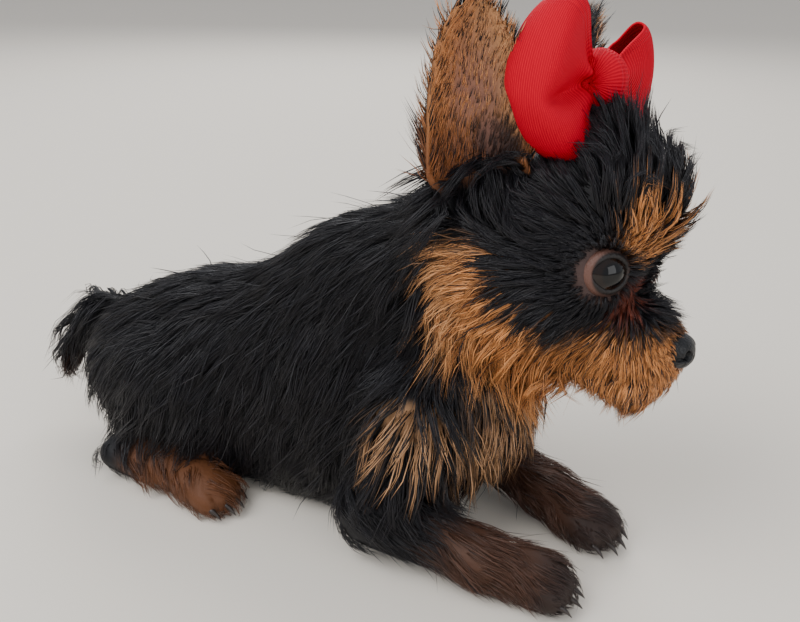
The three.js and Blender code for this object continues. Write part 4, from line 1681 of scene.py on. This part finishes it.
@dataclass
class Claws:
    """Dark claws at the tips of the toes."""

    anatomy: Anatomy
    stations: int = 6
    sides: int = 8
    start: float = 11.4
    length: float = 4.2
    under: float = 2.6
    bend: float = 2.4
    radius: float = 0.95
    tip: float = 0.12

    def build(self) -> bpy.types.Object:
        """Return all claws as one piece."""
        points = []
        faces = []
        for at, heading in self.paws():
            for k in range(TOES):
                self.add_claw(points, faces, at, heading, (k - 1.5) * TOE_STEP)
        obj = facing_out(object_of("claws", np.array(points), faces))
        bpy.ops.object.shade_smooth()
        dressed(obj, FINISHES["claw"].build())
        return obj

    @staticmethod
    def paws() -> list[tuple[Triple, float]]:
        """Return the place and heading of each paw."""
        fore = [(pose.paw, pose.heading) for pose in FORELEGS.values()]
        return fore + [(mirrored(HIND_TOES, side.value), 0.0) for side in Side]

    def add_claw(self, points: list, faces: list, at: Triple, heading: float, spread: float) -> None:
        """Add one curved, tapered claw.

        Args:
            points: list that its points join.
            faces: list that its faces join.
            at: middle of the paw.
            heading: way the paw points, in degrees.
            spread: place of the toe across the paw.
        """
        c = math.cos(math.radians(heading))
        s = math.sin(math.radians(heading))
        first = len(points)
        for i in range(self.stations):
            t = i / (self.stations - 1)
            ahead = self.start - 0.5 * abs(spread) + self.length * t
            height = at[2] - self.under - self.bend * t * t
            radius = self.radius * (1 - t) ** 0.7 + self.tip
            for k in range(self.sides):
                a = 2 * math.pi * k / self.sides
                w = spread + radius * math.cos(a)
                point = (at[0] + ahead * c - w * s, at[1] + ahead * s + w * c, height + radius * math.sin(a))
                points.append(point)
        faces += net(self.stations, self.sides, around=True, first=first)
        for ring in (first, first + (self.stations - 1) * self.sides):
            faces.append(tuple(range(ring, ring + self.sides)))


# Bow


@dataclass(frozen=True)
class Fan:
    """How a loop spreads: angles and reaches are those at its lower edge, crease and upper edge.

    The fold is the place of the crease across the ribbon, open is how far the loop bulges, and sweep is how
    far it turns back, in degrees.
    """

    fold: float
    angles: Triple
    reaches: Triple
    open: float
    sweep: float


FANS = {
    Side.RIGHT: Fan(-0.22, (-80, -10, 48), (20, 27.5, 29), 7.0, 6.0),
    Side.LEFT: Fan(-0.1, (-66, -12, 42), (24, 28, 24), 4.6, -9.0),
}


@dataclass
class Bow:
    """A ribbed ribbon bow: two loops and the band that gathers them."""

    anatomy: Anatomy
    thick: float = 0.55
    colour: Triple = (0.64, 0.0, 0.022)
    rib_step: float = 0.0085
    edge_step: float = 0.0125
    edge_from: float = 0.142
    start: float = 3.0
    knot_radii: tuple[float, float] = (7.8, 6.6)
    knot_half: float = 6.8
    pleat: float = 1.6
    pleats: float = 2.5
    crease_width: float = 0.13
    crease_depth: float = 0.8
    back_gather: float = 0.3
    corner: float = 1.8

    def build(self) -> list[bpy.types.Object]:
        """Return both loops and the knot."""
        material = self.ribbon_material()
        return [self.loop(side, material) for side in Side] + [self.knot(material)]

    def place(self, local: Array, side: int, sweep: float) -> Array:
        """Return points of the bow's own frame in the puppy's frame.

        Args:
            local: points with Y outwards and X up.
            side: 1 for the left, -1 for the right.
            sweep: how far the loop turns back, in degrees.

        Returns:
            The points.
        """
        lean = Matrix.Rotation(math.radians(-88), 3, "Y") @ Matrix.Rotation(math.radians(side * 6), 3, "X")
        swept = Matrix.Rotation(math.radians(side * sweep), 3, "Z")
        turned = (local * vec(1, side, 1)) @ np.array(swept @ lean).T
        return self.anatomy.from_head(turned + vec(*KNOT_AT))

    def loop(self, side: Side, material: bpy.types.Material) -> bpy.types.Object:
        """Return one loop of ribbon, pleated where the band grips it.

        Args:
            side: which loop.
            material: the ribbon's.

        Returns:
            The finished object.
        """
        steps = 72
        columns = 44
        fan = FANS[side]
        places = []
        maps = []
        for i in range(steps + 1):
            a = 0.97 * (2 * i / steps - 1)
            run = max(0.0, math.cos(a * math.pi / 2)) ** 0.6
            opened = fan.open * math.sin(a * math.pi) + 1.6 * a
            for k in range(columns + 1):
                w = 2 * k / columns - 1
                angle = math.radians(float(np.interp(w, (-1, fan.fold, 1), fan.angles)))
                angle *= 1 - self.back_gather * float(step01(a, 0, 0.5)) * (angle > 0)
                reach = float(np.interp(w, (-1, fan.fold, 1), fan.reaches)) - self.start
                out = self.start + reach * (1 - 0.08 * w**8) * run
                corner = math.tanh((w - fan.fold) / 0.07) * math.sin(math.pi * run**1.6) ** 0.7
                pleat = self.pleat * math.cos(self.pleats * math.pi * w) * (1 - min(1.0, run / 0.8)) ** 1.3
                crease = math.exp(-abs(w - fan.fold) / self.crease_width) * (1 - run**5) * (a < 0)
                bulge = opened * (1 - 0.3 * w * w) * (1 - self.crease_depth * crease)
                lift = bulge + self.corner * corner + pleat
                places.append(vec(out * math.sin(angle), out * math.cos(angle), lift))
                maps.append((a * 30.0, w * RIBBON_WIDTH / 2))
        points = self.place(np.array(places), side.value, fan.sweep)
        name = side.name.lower()
        obj = object_of("bow_ribbon_" + name, points, net(steps + 1, columns + 1))
        return self.finished(obj, maps, material, "bow_loop_" + name)

    def knot(self, material: bpy.types.Material) -> bpy.types.Object:
        """Return the band wrapped round the middle of the bow.

        Args:
            material: the ribbon's.

        Returns:
            The finished object.
        """
        steps = 64
        columns = 20
        high, deep = self.knot_radii
        places = []
        maps = []
        for i in range(steps):
            a = 2 * math.pi * i / steps
            for k in range(columns + 1):
                w = 2 * k / columns - 1
                crown = max(0.0004, 1 - abs(w) ** 3.2) ** 0.5 + 0.03 * math.cos(5 * math.pi * w) * (1 - w * w)
                places.append(vec(high * crown * math.cos(a), w * self.knot_half, deep * crown * math.sin(a)))
                maps.append((a * 7.0, w * 6.0))
        obj = object_of("bow_band", self.place(np.array(places), 1, 0.0), net(steps, columns + 1, along=True))
        return self.finished(obj, maps, material, "bow_knot")

    def finished(self, obj: bpy.types.Object, maps: list, material: bpy.types.Material,
                 stands_for: str) -> bpy.types.Object:
        """Map the ribbon, give it its thickness and dress it in place of its node.

        Args:
            obj: the ribbon as a sheet.
            maps: place of each vertex along and across the ribbon.
            material: the ribbon's.
            stands_for: name of the node.

        Returns:
            The same object.
        """
        layer = obj.data.uv_layers.new(name="Weave")
        for loop in obj.data.loops:
            u, v = maps[loop.vertex_index]
            layer.data[loop.index].uv = (u * MM * 10, v * MM * 10)
        smoothed(applied(obj, "SOLIDIFY", thickness=self.thick * MM, offset=0))
        dressed(obj, material, (stands_for,))
        return obj

    def ribbon_material(self) -> bpy.types.Material:
        """Return red ribbed cloth: ribs across the ribbon with painted shade in the troughs between them, and
        woven lines along both edges.
        """
        material = Finish("ribbon_finish", colour=self.colour, roughness=0.62, specular=0.06).build()
        tree = material.node_tree
        place = node(tree, "UVMap")
        place.uv_map = "Weave"
        split = node(tree, "SeparateXYZ", Vector=place.outputs["UV"])
        turns = sum_node(tree, "MULTIPLY", split.outputs["X"], 2 * math.pi / self.rib_step)
        wave = sum_node(tree, "SINE", turns)
        shade = node(tree, "MapRange", Value=wave, From_Min=-1.0, From_Max=1.0)
        # Painted shade: the troughs between the ribs take the red at 0.72, the ribs the full red.
        blend = tree.nodes.new("ShaderNodeMix")
        blend.data_type = "RGBA"
        blend.inputs["A"].default_value = (*[c * 0.72 for c in self.colour], 1)
        blend.inputs["B"].default_value = (*self.colour, 1)
        tree.links.new(shade.outputs["Result"], blend.inputs["Factor"])
        bump = node(tree, "Bump", Strength=0.5, Distance=0.0002, Height=self.relief(tree, split, wave))
        shader = tree.nodes["Principled BSDF"]
        tree.links.new(blend.outputs["Result"], shader.inputs["Base Color"])
        tree.links.new(bump.outputs["Normal"], shader.inputs["Normal"])
        return material

    def relief(self, tree: Tree, split: bpy.types.Node, wave: Socket) -> Socket:
        """Return the height of the cloth: its ribs, and the lines that run along both edges.

        Args:
            tree: the ribbon's nodes.
            split: gives the place along and across the ribbon.
            wave: relief of the ribs.

        Returns:
            The height.
        """
        off = sum_node(tree, "ABSOLUTE", split.outputs["Y"])
        edge = sum_node(tree, "GREATER_THAN", off, self.edge_from)
        lines = sum_node(tree, "SINE", sum_node(tree, "MULTIPLY", off, 2 * math.pi / self.edge_step))
        strong = sum_node(tree, "MULTIPLY", sum_node(tree, "MULTIPLY", edge, lines), 2.5)
        inside = sum_node(tree, "MULTIPLY", wave, sum_node(tree, "SUBTRACT", edge, 1.0))
        return sum_node(tree, "SUBTRACT", strong, inside)


# Stage


@dataclass
class Stage:
    """Plain pale floor, soft studio light and the camera at the photograph's angle."""

    azimuth: float = 28.3
    elevation: float = 23.3
    roll: float = 1.0
    camera_at: Triple = (153.0, -208.0, 170.0)
    lens: float = 38.34
    floor_size: float = 80.0
    lamp_size: float = 0.9
    lamps: tuple = (
        ("key", (-0.35, -0.75, 1.05), 14.5),
        ("fill", (1.1, -0.5, 0.55), 5.5),
        ("rim", (-0.5, 0.9, 0.9), 10.0),
    )
    aimed_at: Triple = (0.03, 0.0, 0.07)
    surround: float = 0.68

    def build(self) -> None:
        """Add floor, lights and camera."""
        self.floor()
        self.lights()
        self.camera()

    def floor(self) -> None:
        """Add a plain pale floor."""
        bpy.ops.mesh.primitive_plane_add(size=self.floor_size)
        floor = bpy.context.object
        floor.name = "floor"
        floor.data.materials.append(FINISHES["floor"].build())

    def lights(self) -> None:
        """Add a broad key from above the camera's left, a fill and a rim, and a pale surround."""
        for name, at, power in self.lamps:
            bpy.ops.object.light_add(type="AREA", location=at)
            light = bpy.context.object
            light.name = name
            light.data.size = self.lamp_size
            light.data.energy = power
            aim = Vector(self.aimed_at) - Vector(at)
            light.rotation_euler = aim.to_track_quat("-Z", "Y").to_euler()
        world = bpy.data.worlds.new("surround")
        world.use_nodes = True
        background = world.node_tree.nodes["Background"]
        background.inputs["Color"].default_value = (0.93, 0.95, 1.0, 1)
        background.inputs["Strength"].default_value = self.surround
        bpy.context.scene.world = world

    def camera(self) -> None:
        """Add the camera."""
        a = math.radians(self.azimuth)
        e = math.radians(self.elevation)
        r = math.radians(self.roll)
        back = Vector((math.sin(a) * math.cos(e), -math.cos(a) * math.cos(e), math.sin(e)))
        right = Vector((math.cos(a), math.sin(a), 0))
        up = back.cross(right)
        across = right * math.cos(r) + up * math.sin(r)
        upright = up * math.cos(r) - right * math.sin(r)
        turn = Matrix((across, upright, back)).transposed().to_4x4()
        data = bpy.data.cameras.new("camera")
        data.lens = self.lens
        data.sensor_width = 36.0
        data.clip_start = 0.01
        camera = bpy.data.objects.new("camera", data)
        camera.matrix_world = Matrix.Translation(Vector(self.camera_at) * MM) @ turn
        bpy.context.scene.collection.objects.link(camera)
        bpy.context.scene.camera = camera


def main() -> None:
    """Dress the puppy and set the stage."""
    logging.basicConfig(level=logging.INFO)
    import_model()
    Stage().build()
    anatomy = Anatomy()
    markings = Markings(anatomy)
    skin_maker = Skin(anatomy, markings)
    skin = skin_maker.build()
    Coat(anatomy, markings, Lie(anatomy), skin_maker, skin).build()
    for side in Side:
        Eye(anatomy, side).build()
    Nose(anatomy).build()
    Claws(anatomy).build()
    Bow(anatomy).build()


if __name__ == "__main__":
    main()
